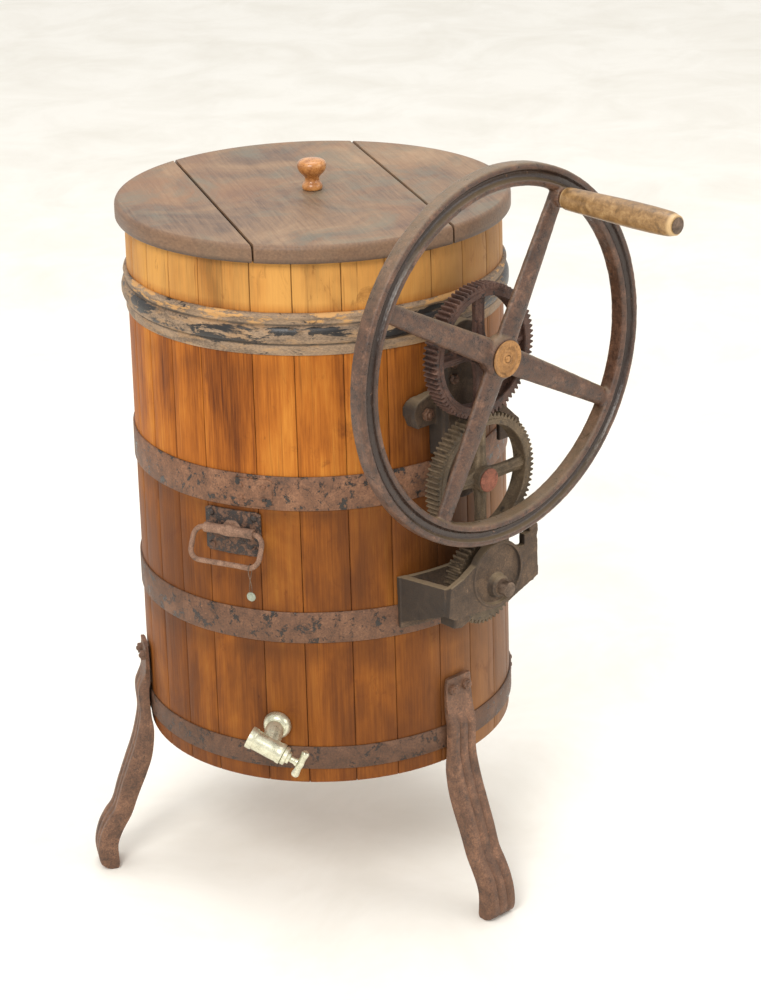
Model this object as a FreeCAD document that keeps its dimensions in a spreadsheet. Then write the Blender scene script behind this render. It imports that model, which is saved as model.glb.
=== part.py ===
import FreeCAD, Part
import math
import os
import Sketcher
from FreeCAD import Placement, Rotation, Vector

# A hand-cranked barrel washing machine: a coopered wooden tub on three cast legs, with a
# handwheel and a train of three spur gears that turn a paddle agitator inside the tub.
# +Z is up and the floor is z = 0.  The crank side faces -Y.  The origin is the centre of the
# footprint of the whole machine, so the tub's own axis stands at y = tub_axis_y.

doc = FreeCAD.newDocument("BarrelWasher")
sheet = doc.addObject("Spreadsheet::Sheet", "Sizes")
UP = Vector(0, 0, 1)
FULL_TURN = 360.0


class Dim:
    """A size that carries both its value and the sheet expression that drives it."""

    def __init__(self, value, text):
        self.value = float(value)
        self.text = text

    def joined(self, other, sign, result):
        return Dim(result, "(%s %s %s)" % (self.text, sign, other.text))

    def __add__(self, other):
        other = as_dim(other)
        return self.joined(other, "+", self.value + other.value)

    def __sub__(self, other):
        other = as_dim(other)
        return self.joined(other, "-", self.value - other.value)

    def __rsub__(self, other):
        return as_dim(other) - self

    def __mul__(self, other):
        other = as_dim(other)
        return self.joined(other, "*", self.value * other.value)

    def __truediv__(self, other):
        other = as_dim(other)
        return self.joined(other, "/", self.value / other.value)

    def __neg__(self):
        return Dim(-self.value, "(0 - %s)" % self.text)


def as_dim(number):
    return number if isinstance(number, Dim) else Dim(number, "(%.6f)" % number)


SIZES = {}


def size(name, value):
    """One driving dimension: a row of the sheet with an alias."""
    row = str(len(SIZES) + 1)
    sheet.set("A" + row, name)
    sheet.set("B" + row, str(value))
    sheet.setAlias("B" + row, name)
    SIZES[name] = Dim(value, "Sizes." + name)
    return SIZES[name]


# ---- the tub -------------------------------------------------------------------------------
TUB_AXIS_Y = size("tub_axis_y", 141.75)
TUB_TOP_R = size("tub_top_radius", 248)
TUB_LOW_R = size("tub_low_radius", 254)
TUB_TOP_Z = size("tub_top_z", 933)
TUB_LOW_Z = size("tub_low_z", 216)
STAVE_T = size("stave_thickness", 22)
STAVE_GAP = size("stave_gap", 0.3)
CROZE_Z = size("croze_z", 240)
BOTTOM_T = size("bottom_thickness", 22)
CROZE_D = size("croze_depth", 6)
HOOP_T = size("hoop_thickness", 2.4)
HOOP_LAP = size("hoop_lap_angle", 12)
BEAD_OUT = size("bead_proud", 8)
# ---- the lid -------------------------------------------------------------------------------
LID_R = size("lid_radius", 260)
LID_T = size("lid_thickness", 24)
LID_EDGE = size("lid_edge_round", 7)
LID_TURN = size("lid_board_azimuth", 63.6)
SEAM_HIGH = size("lid_seam_high", 136.7)
SEAM_LOW = size("lid_seam_low", -119)
SEAM_GAP = size("lid_seam_gap", 2.4)
BATTEN_L = size("batten_length", 350)
BATTEN_W = size("batten_width", 46)
BATTEN_T = size("batten_thickness", 20)
BATTEN_OFF = size("batten_offset", 95)
KNOB_BASE_R = size("knob_base_radius", 13.5)
KNOB_WAIST_R = size("knob_waist_radius", 9.5)
KNOB_HEAD_R = size("knob_head_radius", 19)
KNOB_H = size("knob_height", 42)
# ---- the gear train ------------------------------------------------------------------------
GEAR_MODULE = size("gear_module", 2.25)
BIG_TEETH = size("big_gear_teeth", 76)
SMALL_TEETH = size("small_gear_teeth", 50)
WHEEL_Z = size("wheel_axis_z", 805.8)
IDLER_Z = size("idler_axis_z", 634.8)
SHAFT_Z = size("shaft_axis_z", 493.05)
GEAR_BACK = size("gear_back", 294)
GEAR_FACE = size("gear_face_width", 22)
HUB_BACK = size("gear_hub_back", 284)
HUB_FRONT = size("gear_hub_front", 323.5)
HUB_R = size("gear_hub_radius", 17)
RIM_DEPTH = size("gear_rim_depth", 11)
SPOKE_W = size("gear_spoke_width", 16)
SPOKE_T = size("gear_spoke_thickness", 10)
AXLE_R = size("axle_radius", 9)
RUN_FIT = size("running_clearance", 0.06)
# ---- the handwheel and its grip --------------------------------------------------------------
RIM_MID = size("wheel_mid_plane", 342.5)
RIM_R = size("wheel_radius", 244.4)
RIM_RADIAL = size("rim_radial_depth", 29)
RIM_HALF = size("rim_half_width", 12)
RIM_GROOVE = size("rim_groove_depth", 7)
WHEEL_HUB_R = size("wheel_hub_radius", 29)
WHEEL_TURN = size("wheel_rest_angle", 61.5)
GRIP_RAD = size("grip_pitch_radius", 211)
GRIP_END = size("grip_end", 201)
GRIP_R = size("grip_radius", 16.5)
CRANK_PIN_R = size("crank_pin_radius", 5)
# ---- the brackets and the agitator -------------------------------------------------------------
SPINE_BACK = size("spine_back", 262)
SPINE_T = size("spine_thickness", 18)
SPINE_W = size("spine_width", 60)
SHAFT_R = size("shaft_radius", 10)
PLATE_BACK = size("front_plate_back", 325)
PLATE_T = size("front_plate_thickness", 10)
DISH_Z = size("dish_z", 509)
DISH_R = size("dish_radius", 40.5)
SHAFT_TIP = size("shaft_tip", 357)
PADDLE_R = size("paddle_radius", 185)
PADDLE_W = size("paddle_width", 210)
PADDLE_T = size("paddle_thickness", 16)
GLAND_WALL = size("gland_wall", 8)
# ---- legs, drop handles, tap and seal ------------------------------------------------------------
LEG_W = size("leg_width", 47)
LEG_PLATE_T = size("leg_plate_thickness", 7)
LEG_TOP = size("leg_top_z", 338)
LEG_FIRST = size("leg_first_azimuth", -90)
HANDLE_AZ = size("handle_azimuth", -158.9)
HANDLE_PLATE_LOW = size("handle_plate_low", 538)
HANDLE_PLATE_HIGH = size("handle_plate_high", 600)
HANDLE_HALF_ANGLE = size("handle_plate_half_angle", 9.2)
PIVOT_Z = size("bail_pivot_z", 574)
PIVOT_OUT = size("bail_pivot_radius", 262.5)
BAIL_ROD_R = size("bail_rod_radius", 3.75)
BAIL_HALF_W = size("bail_half_width", 50)
BAIL_DROP = size("bail_drop", 43)
BAIL_LEAN = size("bail_lean", 27)
TAP_AZ = size("tap_azimuth", -147.3)
TAP_Z = size("tap_flange_z", 300)
TAP_OUT = size("tap_reach", 42)
TAP_DROP = size("tap_drop", 13)
TAP_TILT = size("tap_tilt", 26)
TAP_R = size("tap_barrel_radius", 13.5)
TAP_NECK_R = size("tap_neck_radius", 12.2)
TAP_BAR_R = size("tap_bar_radius", 5)

doc.recompute()
NODES = {}


def bind(item, path, dim):
    """Drive one property of an object from the sheet."""
    item.setExpression(path, as_dim(dim).text)


def keep(name, item):
    """Name a finished sub-part and stand it on the tub's axis."""
    item.Label = name
    NODES[name] = item
    return item


def on_axis(item):
    bind(item, "Placement.Base.y", TUB_AXIS_Y)
    return item


def polar(radius, azimuth, z=0.0):
    """A point at an azimuth about the tub's axis, in the machine's frame."""
    turn = math.radians(azimuth)
    return Vector(radius * math.cos(turn), radius * math.sin(turn) + TUB_AXIS_Y.value, z)


# ---- sketches and features ---------------------------------------------------------------------

def new_body(name):
    return doc.addObject("PartDesign::Body", name)


def origin_part(body, role):
    return next(f for f in body.Origin.OriginFeatures if f.Role == role)


def sketch_on(body, plane, across=0, along=0, out=0):
    """A sketch on one of the body's own planes, moved in that plane and out of it."""
    sketch = body.newObject("Sketcher::SketchObject", body.Name + "_sketch")
    sketch.AttachmentSupport = [(origin_part(body, plane), "")]
    sketch.MapMode = "FlatFace"
    for axis, amount in (("x", across), ("y", along), ("z", out)):
        bind(sketch, "AttachmentOffset.Base." + axis, amount)
    return sketch


def pin_down(sketch, geo, end, x, y):
    """Fix one end of a line or arc at a point whose coordinates come from the sheet."""
    for kind, amount, axis in (("DistanceX", x, -2), ("DistanceY", y, -1)):
        if abs(amount.value) < 1e-6:
            sketch.addConstraint(Sketcher.Constraint("PointOnObject", geo, end, axis))
            continue
        rule = sketch.addConstraint(Sketcher.Constraint(kind, -1, 1, geo, end, amount.value))
        sketch.setExpression("Constraints[%d]" % rule, amount.text)


def outline(sketch, points):
    """A closed outline.  (x, y) is a straight side to that corner and (x, y, mid_x, mid_y)
    is an arc to it through the middle point."""
    corners = [Vector(as_dim(p[0]).value, as_dim(p[1]).value, 0) for p in points]
    ends = []
    for i, point in enumerate(points):
        start, finish = corners[i - 1], corners[i]
        if len(point) == 4:
            middle = Vector(as_dim(point[2]).value, as_dim(point[3]).value, 0)
            geo = sketch.addGeometry(Part.Arc(start, middle, finish))
        else:
            geo = sketch.addGeometry(Part.LineSegment(start, finish))
        forward = sketch.getPoint(geo, 1).distanceToPoint(start) < 1e-4
        ends.append((geo, 1, 2) if forward else (geo, 2, 1))
    for i, point in enumerate(points):
        geo, _, last = ends[i]
        following, first, _ = ends[(i + 1) % len(points)]
        sketch.addConstraint(Sketcher.Constraint("Coincident", geo, last, following, first))
        pin_down(sketch, geo, last, as_dim(point[0]), as_dim(point[1]))
    return sketch


def circle(sketch, radius, x=0, y=0):
    """A circle whose radius and centre come from the sheet."""
    radius, x, y = as_dim(radius), as_dim(x), as_dim(y)
    geo = sketch.addGeometry(Part.Circle(Vector(x.value, y.value, 0), Vector(0, 0, 1), radius.value))
    pin_down(sketch, geo, 3, x, y)
    rule = sketch.addConstraint(Sketcher.Constraint("Radius", geo, radius.value))
    sketch.setExpression("Constraints[%d]" % rule, radius.text)
    return sketch


def ellipse(sketch, half_x, half_y):
    """An ellipse at the sketch's origin; half_x is the larger half."""
    shape = Part.Ellipse(Vector(half_x, 0, 0), Vector(0, half_y, 0), Vector(0, 0, 0))
    sketch.addGeometry(shape)
    return sketch


def pad(body, sketch, length, both_ways=False, backwards=False):
    feature = body.newObject("PartDesign::Pad", body.Name + "_pad")
    feature.Profile = sketch
    feature.SideType = "Symmetric" if both_ways else "One side"
    feature.Reversed = backwards
    bind(feature, "Length", length)
    return feature


def pocket(body, sketch, length, both_ways=False, backwards=False):
    feature = body.newObject("PartDesign::Pocket", body.Name + "_pocket")
    feature.Profile = sketch
    feature.SideType = "Symmetric" if both_ways else "One side"
    feature.Reversed = backwards
    bind(feature, "Length", length)
    return feature


def revolution(body, sketch, axis, angle=FULL_TURN, both_ways=False):
    feature = body.newObject("PartDesign::Revolution", body.Name + "_revolution")
    feature.Profile = sketch
    feature.ReferenceAxis = (sketch, [axis])
    feature.Midplane = both_ways
    bind(feature, "Angle", angle)
    return feature


def ring_pattern(body, feature, axis, count):
    pattern = body.newObject("PartDesign::PolarPattern", body.Name + "_pattern")
    pattern.Originals = [feature]
    pattern.Axis = (axis, [""])
    pattern.Angle = FULL_TURN
    pattern.Occurrences = count
    body.Tip = pattern
    return pattern


def turned(name, profile, z=0):
    """A turned piece: a profile of (radius, height) revolved about its own Z axis."""
    body = new_body(name)
    sketch = outline(sketch_on(body, "XZ_Plane", along=z), profile)
    revolution(body, sketch, "V_Axis")
    return body


def tube(name, inner, outer, start, stop, z):
    """A round piece along the crank direction, from one distance off the tub's axis to another."""
    body = new_body(name)
    sketch = sketch_on(body, "XZ_Plane", along=z, out=start)
    circle(sketch, outer)
    if inner is not None:
        circle(sketch, inner)
    pad(body, sketch, as_dim(stop) - start)
    return body


def solid(kind, name, **sizes):
    """A Part primitive whose sizes are driven by the sheet."""
    item = doc.addObject("Part::" + kind, name)
    for prop, dim in sizes.items():
        bind(item, prop, dim)
    return item


def fused(name, pieces):
    item = doc.addObject("Part::MultiFuse", name)
    item.Shapes = pieces
    return item


def cut(name, base, tool):
    item = doc.addObject("Part::Cut", name)
    item.Base = base
    item.Tool = tool
    return item


def feature(name, shape):
    item = doc.addObject("Part::Feature", name)
    item.Shape = shape
    return item


def dome_middle(radius, rise):
    """The middle point, as (radius, height), of a spherical cap's arc from its edge to its top."""
    sphere = (radius * radius + rise * rise) / (2.0 * rise)
    half = math.asin(radius / sphere) / 2.0
    if rise > radius:
        half = math.pi / 2.0 - half
    return sphere * math.sin(half), rise - sphere * (1.0 - math.cos(half))


# ---- the tub -------------------------------------------------------------------------------------

def tub_radius(z):
    """The staves' outer radius at a height."""
    slope = (TUB_TOP_R - TUB_LOW_R) / (TUB_TOP_Z - TUB_LOW_Z)
    return TUB_LOW_R + slope * (as_dim(z) - TUB_LOW_Z)


def tub_envelope(name, clearance):
    """The tub's outside as a solid cone, to shape the backs of what is bolted on."""
    cone = solid("Cone", name, Radius1=TUB_LOW_R + clearance, Radius2=TUB_TOP_R + clearance,
                 Height=TUB_TOP_Z - TUB_LOW_Z)
    bind(cone, "Placement.Base.z", TUB_LOW_Z)
    return cone


# Azimuths of the seams between staves, in the machine's frame.
STAVE_SEAMS = (-179.5, -167.6, -150.6, -138.2, -124.0, -111.0, -95.5, -82.6, -68.9, -55.8, -41.0, -26.0,
               -12.5, 3.0, 17.0, 31.5, 46.0, 59.0, 74.0, 88.0, 103.0, 116.0, 131.0, 144.0, 157.0, 169.0)


def stave_profile():
    inner_top = TUB_TOP_R.value - STAVE_T.value
    inner_low = TUB_LOW_R.value - STAVE_T.value
    groove_low = CROZE_Z.value
    groove_high = groove_low + BOTTOM_T.value
    groove_r = inner_low + CROZE_D.value
    corners = [(TUB_LOW_R.value, TUB_LOW_Z.value), (TUB_TOP_R.value, TUB_TOP_Z.value),
               (inner_top, TUB_TOP_Z.value), (inner_low, groove_high), (groove_r, groove_high),
               (groove_r, groove_low), (inner_low, groove_low), (inner_low, TUB_LOW_Z.value)]
    return [Vector(r, 0, z) for r, z in corners]


def make_staves():
    corners = stave_profile()
    face = Part.Face(Part.makePolygon(corners + corners[:1]))
    gap = math.degrees(STAVE_GAP.value / TUB_TOP_R.value)
    following = STAVE_SEAMS[1:] + (STAVE_SEAMS[0] + FULL_TURN,)
    staves = []
    for start, stop in zip(STAVE_SEAMS, following):
        blank = face.copy()
        blank.rotate(Vector(0, 0, 0), UP, start + gap / 2)
        staves.append(blank.revolve(Vector(0, 0, 0), UP, stop - start - gap))
    hole_r = SHAFT_R.value + RUN_FIT.value + GLAND_WALL.value + 0.05
    holes = [Part.makeCylinder(hole_r, 80, Vector(0, -190, SHAFT_Z.value), Vector(0, -1, 0)), tap_hole()]
    staves = [stave.cut(holes) for stave in staves]
    keep("staves", on_axis(feature("staves", Part.makeCompound(staves))))


def tap_hole():
    """The round hole that the tap's neck passes through, about the tub's own axis."""
    inward, reach = tap_neck_line()
    start = inward - Vector(0, TUB_AXIS_Y.value, 0) - reach * 0.3
    return Part.makeCylinder(TAP_NECK_R.value + 0.05, reach.Length * 1.3, start, reach)


def make_bottom():
    board = solid("Cylinder", "tub_bottom", Radius=TUB_LOW_R - STAVE_T + CROZE_D, Height=BOTTOM_T)
    bind(board, "Placement.Base.z", CROZE_Z)
    keep("tub_bottom", on_axis(board))


def hoop_body(name, profile, low, high, lap_azimuth):
    """A band round the staves with its end lapped over itself."""
    body = new_body(name)
    revolution(body, outline(sketch_on(body, "XZ_Plane"), profile), "V_Axis")
    inset = (as_dim(high) - low) / 8
    lap = [(tub_radius(low) + 1, as_dim(low) + inset), (tub_radius(low) + HOOP_T * 2, as_dim(low) + inset),
           (tub_radius(high) + HOOP_T * 2, as_dim(high) - inset), (tub_radius(high) + 1, as_dim(high) - inset)]
    revolution(body, outline(sketch_on(body, "XZ_Plane"), lap), "V_Axis", HOOP_LAP, both_ways=True)
    body.Placement = Placement(Vector(0, TUB_AXIS_Y.value, 0), Rotation(UP, lap_azimuth))
    keep(name, on_axis(body))


def flat_hoop(name, low, high, lap_azimuth):
    profile = [(tub_radius(low), low), (tub_radius(low) + HOOP_T, low), (tub_radius(high) + HOOP_T, high),
               (tub_radius(high), high)]
    hoop_body(name, profile, low, high, lap_azimuth)


def bead_hoop(name, low, high, lap_azimuth):
    """The top hoop: a flat strip with a half-round bead and a small fillet rolled into it."""
    low, high = as_dim(low), as_dim(high)
    wall = tub_radius((low + high) / 2)
    bead_low, bead_high = low + 15, low + 38
    profile = [(tub_radius(low), low), (wall + HOOP_T, low), (wall + HOOP_T, bead_low),
               (wall + HOOP_T, bead_high, wall + BEAD_OUT, (bead_low + bead_high) / 2),
               (wall + HOOP_T, high - 9), (wall + HOOP_T, high, wall + HOOP_T * 2, high - 4.5),
               (tub_radius(high), high)]
    body = new_body(name)
    revolution(body, outline(sketch_on(body, "XZ_Plane"), profile), "V_Axis")
    keep(name, on_axis(body))


def domed_rivet(at, outward, radius=3.6, height=2.2):
    return Part.makeCone(radius, radius * 0.55, height, at, outward)


HOOPS = (("hoop_2", 605, 651, -152.0), ("hoop_3", 420, 463, 62.0), ("hoop_4", 237, 269, -33.0))


def make_hoops():
    bead_hoop("hoop_1", 813, 868, 0)
    for name, low, high, lap_azimuth in HOOPS:
        flat_hoop(name, low, high, lap_azimuth)
    rivets = []
    for _, low, high, lap_azimuth in HOOPS:
        for side in (-3.5, 3.5):
            for share in (0.32, 0.68):
                height = low + share * (high - low)
                face = tub_radius(height).value + 2 * HOOP_T.value + 0.05
                at = polar(face, lap_azimuth + side, height)
                outward = Vector(at.x, at.y - TUB_AXIS_Y.value, 0)
                rivets.append(domed_rivet(at, outward))
    keep("hoop_rivets", feature("hoop_rivets", Part.makeCompound(rivets)))


# ---- the lid ---------------------------------------------------------------------------------------

def lid_disc():
    top = TUB_TOP_Z + LID_T
    low_round = LID_EDGE * 0.6
    profile = [(0, TUB_TOP_Z), (LID_R - low_round, TUB_TOP_Z),
               (LID_R, TUB_TOP_Z + low_round, LID_R - low_round * 0.3, TUB_TOP_Z + low_round * 0.3),
               (LID_R, top - LID_EDGE), (LID_R - LID_EDGE, top, LID_R - LID_EDGE * 0.293, top - LID_EDGE * 0.293),
               (0, top)]
    return turned("lid_disc", profile)


def lid_strip(name, low, high):
    """A straight strip of the lid between two distances across its boards."""
    strip = solid("Box", name + "_strip", Length=LID_R * 2.2, Width=as_dim(high) - low, Height=LID_T * 2)
    across = Rotation(UP, LID_TURN.value)
    corner = across.multVec(Vector(-LID_R.value * 1.1, as_dim(low).value, 0))
    strip.Placement = Placement(corner + Vector(0, 0, TUB_TOP_Z.value - LID_T.value / 2), across)
    return strip


def make_lid():
    disc = lid_disc()
    half = SEAM_GAP / 2
    spans = (("lid_board_left", SEAM_HIGH + half, LID_R * 1.05),
             ("lid_board_centre", SEAM_LOW + half, SEAM_HIGH - half),
             ("lid_board_right", -(LID_R * 1.05), SEAM_LOW - half))
    for name, low, high in spans:
        board = doc.addObject("Part::Common", name)
        board.Base = lid_strip(name, low, high)
        board.Tool = disc
        keep(name, on_axis(board))
    across = Rotation(UP, LID_TURN.value)
    under = TUB_TOP_Z.value - BATTEN_T.value
    for name, side in (("lid_batten_front", -1), ("lid_batten_back", 1)):
        batten = solid("Box", name, Length=BATTEN_W, Width=BATTEN_L, Height=BATTEN_T)
        corner = Vector(side * BATTEN_OFF.value - BATTEN_W.value / 2, -BATTEN_L.value / 2, 0)
        centre = across.multVec(corner) + Vector(0, TUB_AXIS_Y.value, under)
        batten.Placement = Placement(centre, across)
        keep(name, batten)
    screws = []
    for side in (-1, 1):
        for along in (-155, -70, 0, 75, 150):
            at = across.multVec(Vector(side * BATTEN_OFF.value, along, 0)) + Vector(0, TUB_AXIS_Y.value, under)
            screws.append(Part.makeCylinder(4.5, 2.0, at, Vector(0, 0, -1)))
    keep("lid_screws", feature("lid_screws", Part.makeCompound(screws)))
    top = TUB_TOP_Z + LID_T
    shoulder = 30.0
    mid_r, mid_rise = dome_middle(KNOB_HEAD_R.value, KNOB_H.value - shoulder)
    profile = [(0, 0), (KNOB_BASE_R, 0), (KNOB_BASE_R, 3), (KNOB_WAIST_R, 12, KNOB_BASE_R - 0.8, 8),
               (KNOB_WAIST_R + 1.5, 20, KNOB_WAIST_R - 0.4, 16),
               (KNOB_HEAD_R, shoulder, KNOB_HEAD_R - 2.0, 23.5), (0, KNOB_H, mid_r, shoulder + mid_rise)]
    knob = turned("lid_knob", profile, z=top)
    keep("lid_knob", on_axis(knob))


# ---- gears -------------------------------------------------------------------------------------------

def gear_outline(teeth, module, tooth_at):
    """A closed wire of straight-flanked teeth in the XZ plane, with a tooth centred at an angle."""
    pitch_r = teeth * module / 2.0
    tip_r, root_r = pitch_r + 0.92 * module, pitch_r - 1.22 * module
    slack = 0.22
    half_pitch_w = math.pi * module / 4.0 - slack / 2.0
    lean = math.tan(math.radians(20.0))
    half_tip = (half_pitch_w - (tip_r - pitch_r) * lean) / tip_r
    half_root = (half_pitch_w + (pitch_r - root_r) * lean) / root_r
    half_mid = half_pitch_w / pitch_r
    points = []
    for i in range(teeth):
        middle = math.radians(tooth_at) + 2.0 * math.pi * i / teeth
        for radius, off in ((root_r, -half_root), (pitch_r, -half_mid), (tip_r, -half_tip), (tip_r, half_tip),
                            (pitch_r, half_mid), (root_r, half_root)):
            points.append(Vector(radius * math.cos(middle + off), 0, radius * math.sin(middle + off)))
    return Part.makePolygon(points + points[:1])


def toothed_ring(name, teeth, z, tooth_at, inner_r):
    """The toothed rim of a gear: its outline less the round inside, drawn out to the face width."""
    wire = gear_outline(int(teeth.value), GEAR_MODULE.value, tooth_at)
    inside = Part.Wire([Part.makeCircle(inner_r.value, Vector(0, 0, 0), Vector(0, 1, 0))])
    section = feature(name + "_section", Part.Face([wire, inside]))
    ring = doc.addObject("Part::Extrusion", name + "_ring")
    ring.Base = section
    ring.DirMode = "Custom"
    ring.Dir = Vector(0, -1, 0)
    ring.Solid = True
    bind(ring, "LengthFwd", GEAR_FACE)
    bind(ring, "Placement.Base.y", -GEAR_BACK)
    bind(ring, "Placement.Base.z", z)
    return ring


def big_gear(name, z, tooth_at, hub_front, bore):
    """A spoked gear that runs on a fixed axle."""
    inner_r = BIG_TEETH * GEAR_MODULE / 2 - RIM_DEPTH
    ring = toothed_ring(name, BIG_TEETH, z, tooth_at, inner_r)
    span = inner_r * 2 + 6
    middle = GEAR_BACK + (GEAR_FACE + SPOKE_T) / 2
    level = solid("Box", name + "_level_arm", Length=span, Width=SPOKE_T, Height=SPOKE_W)
    upright = solid("Box", name + "_upright_arm", Length=SPOKE_W, Width=SPOKE_T, Height=span)
    for arm, across, tall in ((level, span, SPOKE_W), (upright, SPOKE_W, span)):
        bind(arm, "Placement.Base.x", -(across / 2))
        bind(arm, "Placement.Base.y", -middle)
        bind(arm, "Placement.Base.z", z - tall / 2)
    hub = tube(name + "_hub", None, HUB_R, HUB_BACK, hub_front, z)
    whole = fused(name + "_cast", [ring, level, upright, hub])
    drill = tube(name + "_bore", None, bore, HUB_BACK - 5, hub_front + 5, z)
    return keep(name, on_axis(cut(name, whole, drill)))


def small_gear():
    """The solid gear keyed to the agitator's shaft."""
    ring = toothed_ring("bottom_gear", SMALL_TEETH, SHAFT_Z, 90.0, SHAFT_R)
    hub = tube("bottom_gear_hub", SHAFT_R, SHAFT_R + 11, GEAR_BACK - 14, PLATE_BACK - 1.5, SHAFT_Z)
    keep("bottom_gear", on_axis(fused("bottom_gear", [ring, hub])))


# ---- the handwheel --------------------------------------------------------------------------------------

def wheel_place(item):
    """Stand a piece that is drawn about the wheel's own centre on the wheel's axis."""
    item.Placement = Placement(Vector(0, 0, 0), Rotation(Vector(0, 1, 0), -WHEEL_TURN.value))
    bind(item, "Placement.Base.y", TUB_AXIS_Y - RIM_MID)
    bind(item, "Placement.Base.z", WHEEL_Z)
    return item


def rim_profile():
    """The rim's section: rounded inner and outer lips with a channel in the front face."""
    inner = RIM_R - RIM_RADIAL
    front = -RIM_HALF
    floor = RIM_GROOVE - RIM_HALF
    lip, corner, bulge = 7.5, 5, 1.5
    return [(RIM_HALF - corner, RIM_R, RIM_HALF - bulge, RIM_R - bulge), (front + corner, RIM_R),
            (front, RIM_R - corner, front + bulge, RIM_R - bulge), (front, RIM_R - lip),
            (floor, RIM_R - lip - 3), (floor, inner + lip + 3), (front, inner + lip), (front, inner + corner),
            (front + corner, inner, front + bulge, inner + bulge), (RIM_HALF - corner, inner),
            (RIM_HALF, inner + corner, RIM_HALF - bulge, inner + bulge), (RIM_HALF, RIM_R - corner)]


def spoke_section(body, distance, half_width, half_thickness):
    """An oval section of a spoke, wider in the wheel's plane than along its axis."""
    sketch = sketch_on(body, "YZ_Plane", out=distance)
    sketch.AttachmentOffset = Placement(sketch.AttachmentOffset.Base, Rotation(UP, 90))
    return ellipse(sketch, half_width, half_thickness)


def make_handwheel():
    body = new_body("handwheel")
    revolution(body, outline(sketch_on(body, "YZ_Plane"), rim_profile()), "H_Axis")
    face = RIM_HALF - 0.5
    bore = AXLE_R + RUN_FIT
    hub = [(RIM_MID - HUB_FRONT - 0.2, bore), (RIM_MID - HUB_FRONT - 0.2, HUB_R + 3), (6, WHEEL_HUB_R),
           (-6, WHEEL_HUB_R), (-face, WHEEL_HUB_R - 4), (-face, bore)]
    revolution(body, outline(sketch_on(body, "YZ_Plane"), hub), "H_Axis")
    loft = body.newObject("PartDesign::AdditiveLoft", "spoke")
    loft.Profile = spoke_section(body, 18, 17.5, 8.5)
    loft.Sections = [spoke_section(body, RIM_R - RIM_RADIAL + 3, 12, 7)]
    ring_pattern(body, loft, origin_part(body, "Y_Axis"), 4)
    boss = circle(sketch_on(body, "XZ_Plane", across=GRIP_RAD), CRANK_PIN_R + 8)
    pad(body, boss, 15)
    keep("handwheel", wheel_place(body))


def make_grip():
    """The crank pin, riveted to a boss on one spoke, and the wooden grip that turns on it."""
    head = 3.0
    start = 15.0
    pin = new_body("crank_pin")
    washer_r = CRANK_PIN_R + 5.5
    profile = [(0, start), (CRANK_PIN_R, start), (CRANK_PIN_R, GRIP_END - head), (washer_r, GRIP_END - head),
               (washer_r, GRIP_END - 1), (CRANK_PIN_R * 0.8, GRIP_END), (0, GRIP_END)]
    for body, points in ((pin, profile), (new_body("crank_grip"), grip_profile(start, head))):
        sketch = sketch_on(body, "XY_Plane", across=GRIP_RAD)
        outline(sketch, [(point[0], -as_dim(point[1])) + tuple(mirrored(point[2:])) for point in points])
        revolution(body, sketch, "V_Axis")
        keep(body.Name, wheel_place(body))


def mirrored(middle):
    return (middle[0], -as_dim(middle[1])) if middle else ()


def grip_profile(start, head):
    """The grip's half section: a long plain barrel, a little fuller towards its free end."""
    bore = CRANK_PIN_R + RUN_FIT
    stop = GRIP_END - head - 0.4
    return [(bore, start + 1.5), (GRIP_R - 4, start + 1.5), (GRIP_R - 1.5, start + 8, GRIP_R - 2.2, start + 4),
            (GRIP_R - 1, stop - 12, GRIP_R, start + 110), (GRIP_R - 3, stop, GRIP_R - 1.4, stop - 5),
            (bore, stop)]


def make_axles():
    """Fixed stub axles: the wheel's has a brass washer and screw, the idler's a riveted head."""
    cap_back = RIM_MID + RIM_HALF
    keep("wheel_axle", on_axis(tube("wheel_axle", None, AXLE_R, SPINE_BACK + 1, cap_back, WHEEL_Z)))
    washer = tube("axle_washer", 5, 24, cap_back, cap_back + 2.5, WHEEL_Z)
    keep("axle_washer", on_axis(washer))
    screw = new_body("axle_screw")
    head_r, rise = 4.8, 3.5
    mid_r, mid_rise = dome_middle(head_r, rise)
    base = -(cap_back + 0.5)
    dome = [(base, 0), (base, head_r), (base - rise, 0, base - mid_rise, mid_r)]
    revolution(screw, outline(sketch_on(screw, "YZ_Plane", along=WHEEL_Z), dome), "H_Axis")
    keep("axle_screw", on_axis(screw))
    axle = tube("idler_axle", None, AXLE_R - 1, SPINE_BACK + 1, HUB_FRONT - 2.5, IDLER_Z)
    circle_at = sketch_on(axle, "XZ_Plane", along=IDLER_Z, out=HUB_FRONT - 2.5)
    pad(axle, circle(circle_at, 15.5), 3.5)
    keep("idler_axle", on_axis(axle))
    washers = [tube("washer_%d" % i, AXLE_R, 15, SPINE_BACK + SPINE_T, HUB_BACK - 0.4, z)
               for i, z in enumerate((WHEEL_Z, IDLER_Z))]
    both = doc.addObject("Part::Compound", "thrust_washers")
    both.Links = washers
    keep("thrust_washers", on_axis(both))


# ---- brackets ---------------------------------------------------------------------------------------------

def side_plate(body, x, thickness, points):
    """A plate of a casting that stands across the X direction."""
    pad(body, outline(sketch_on(body, "YZ_Plane", out=x), points), thickness)


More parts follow.
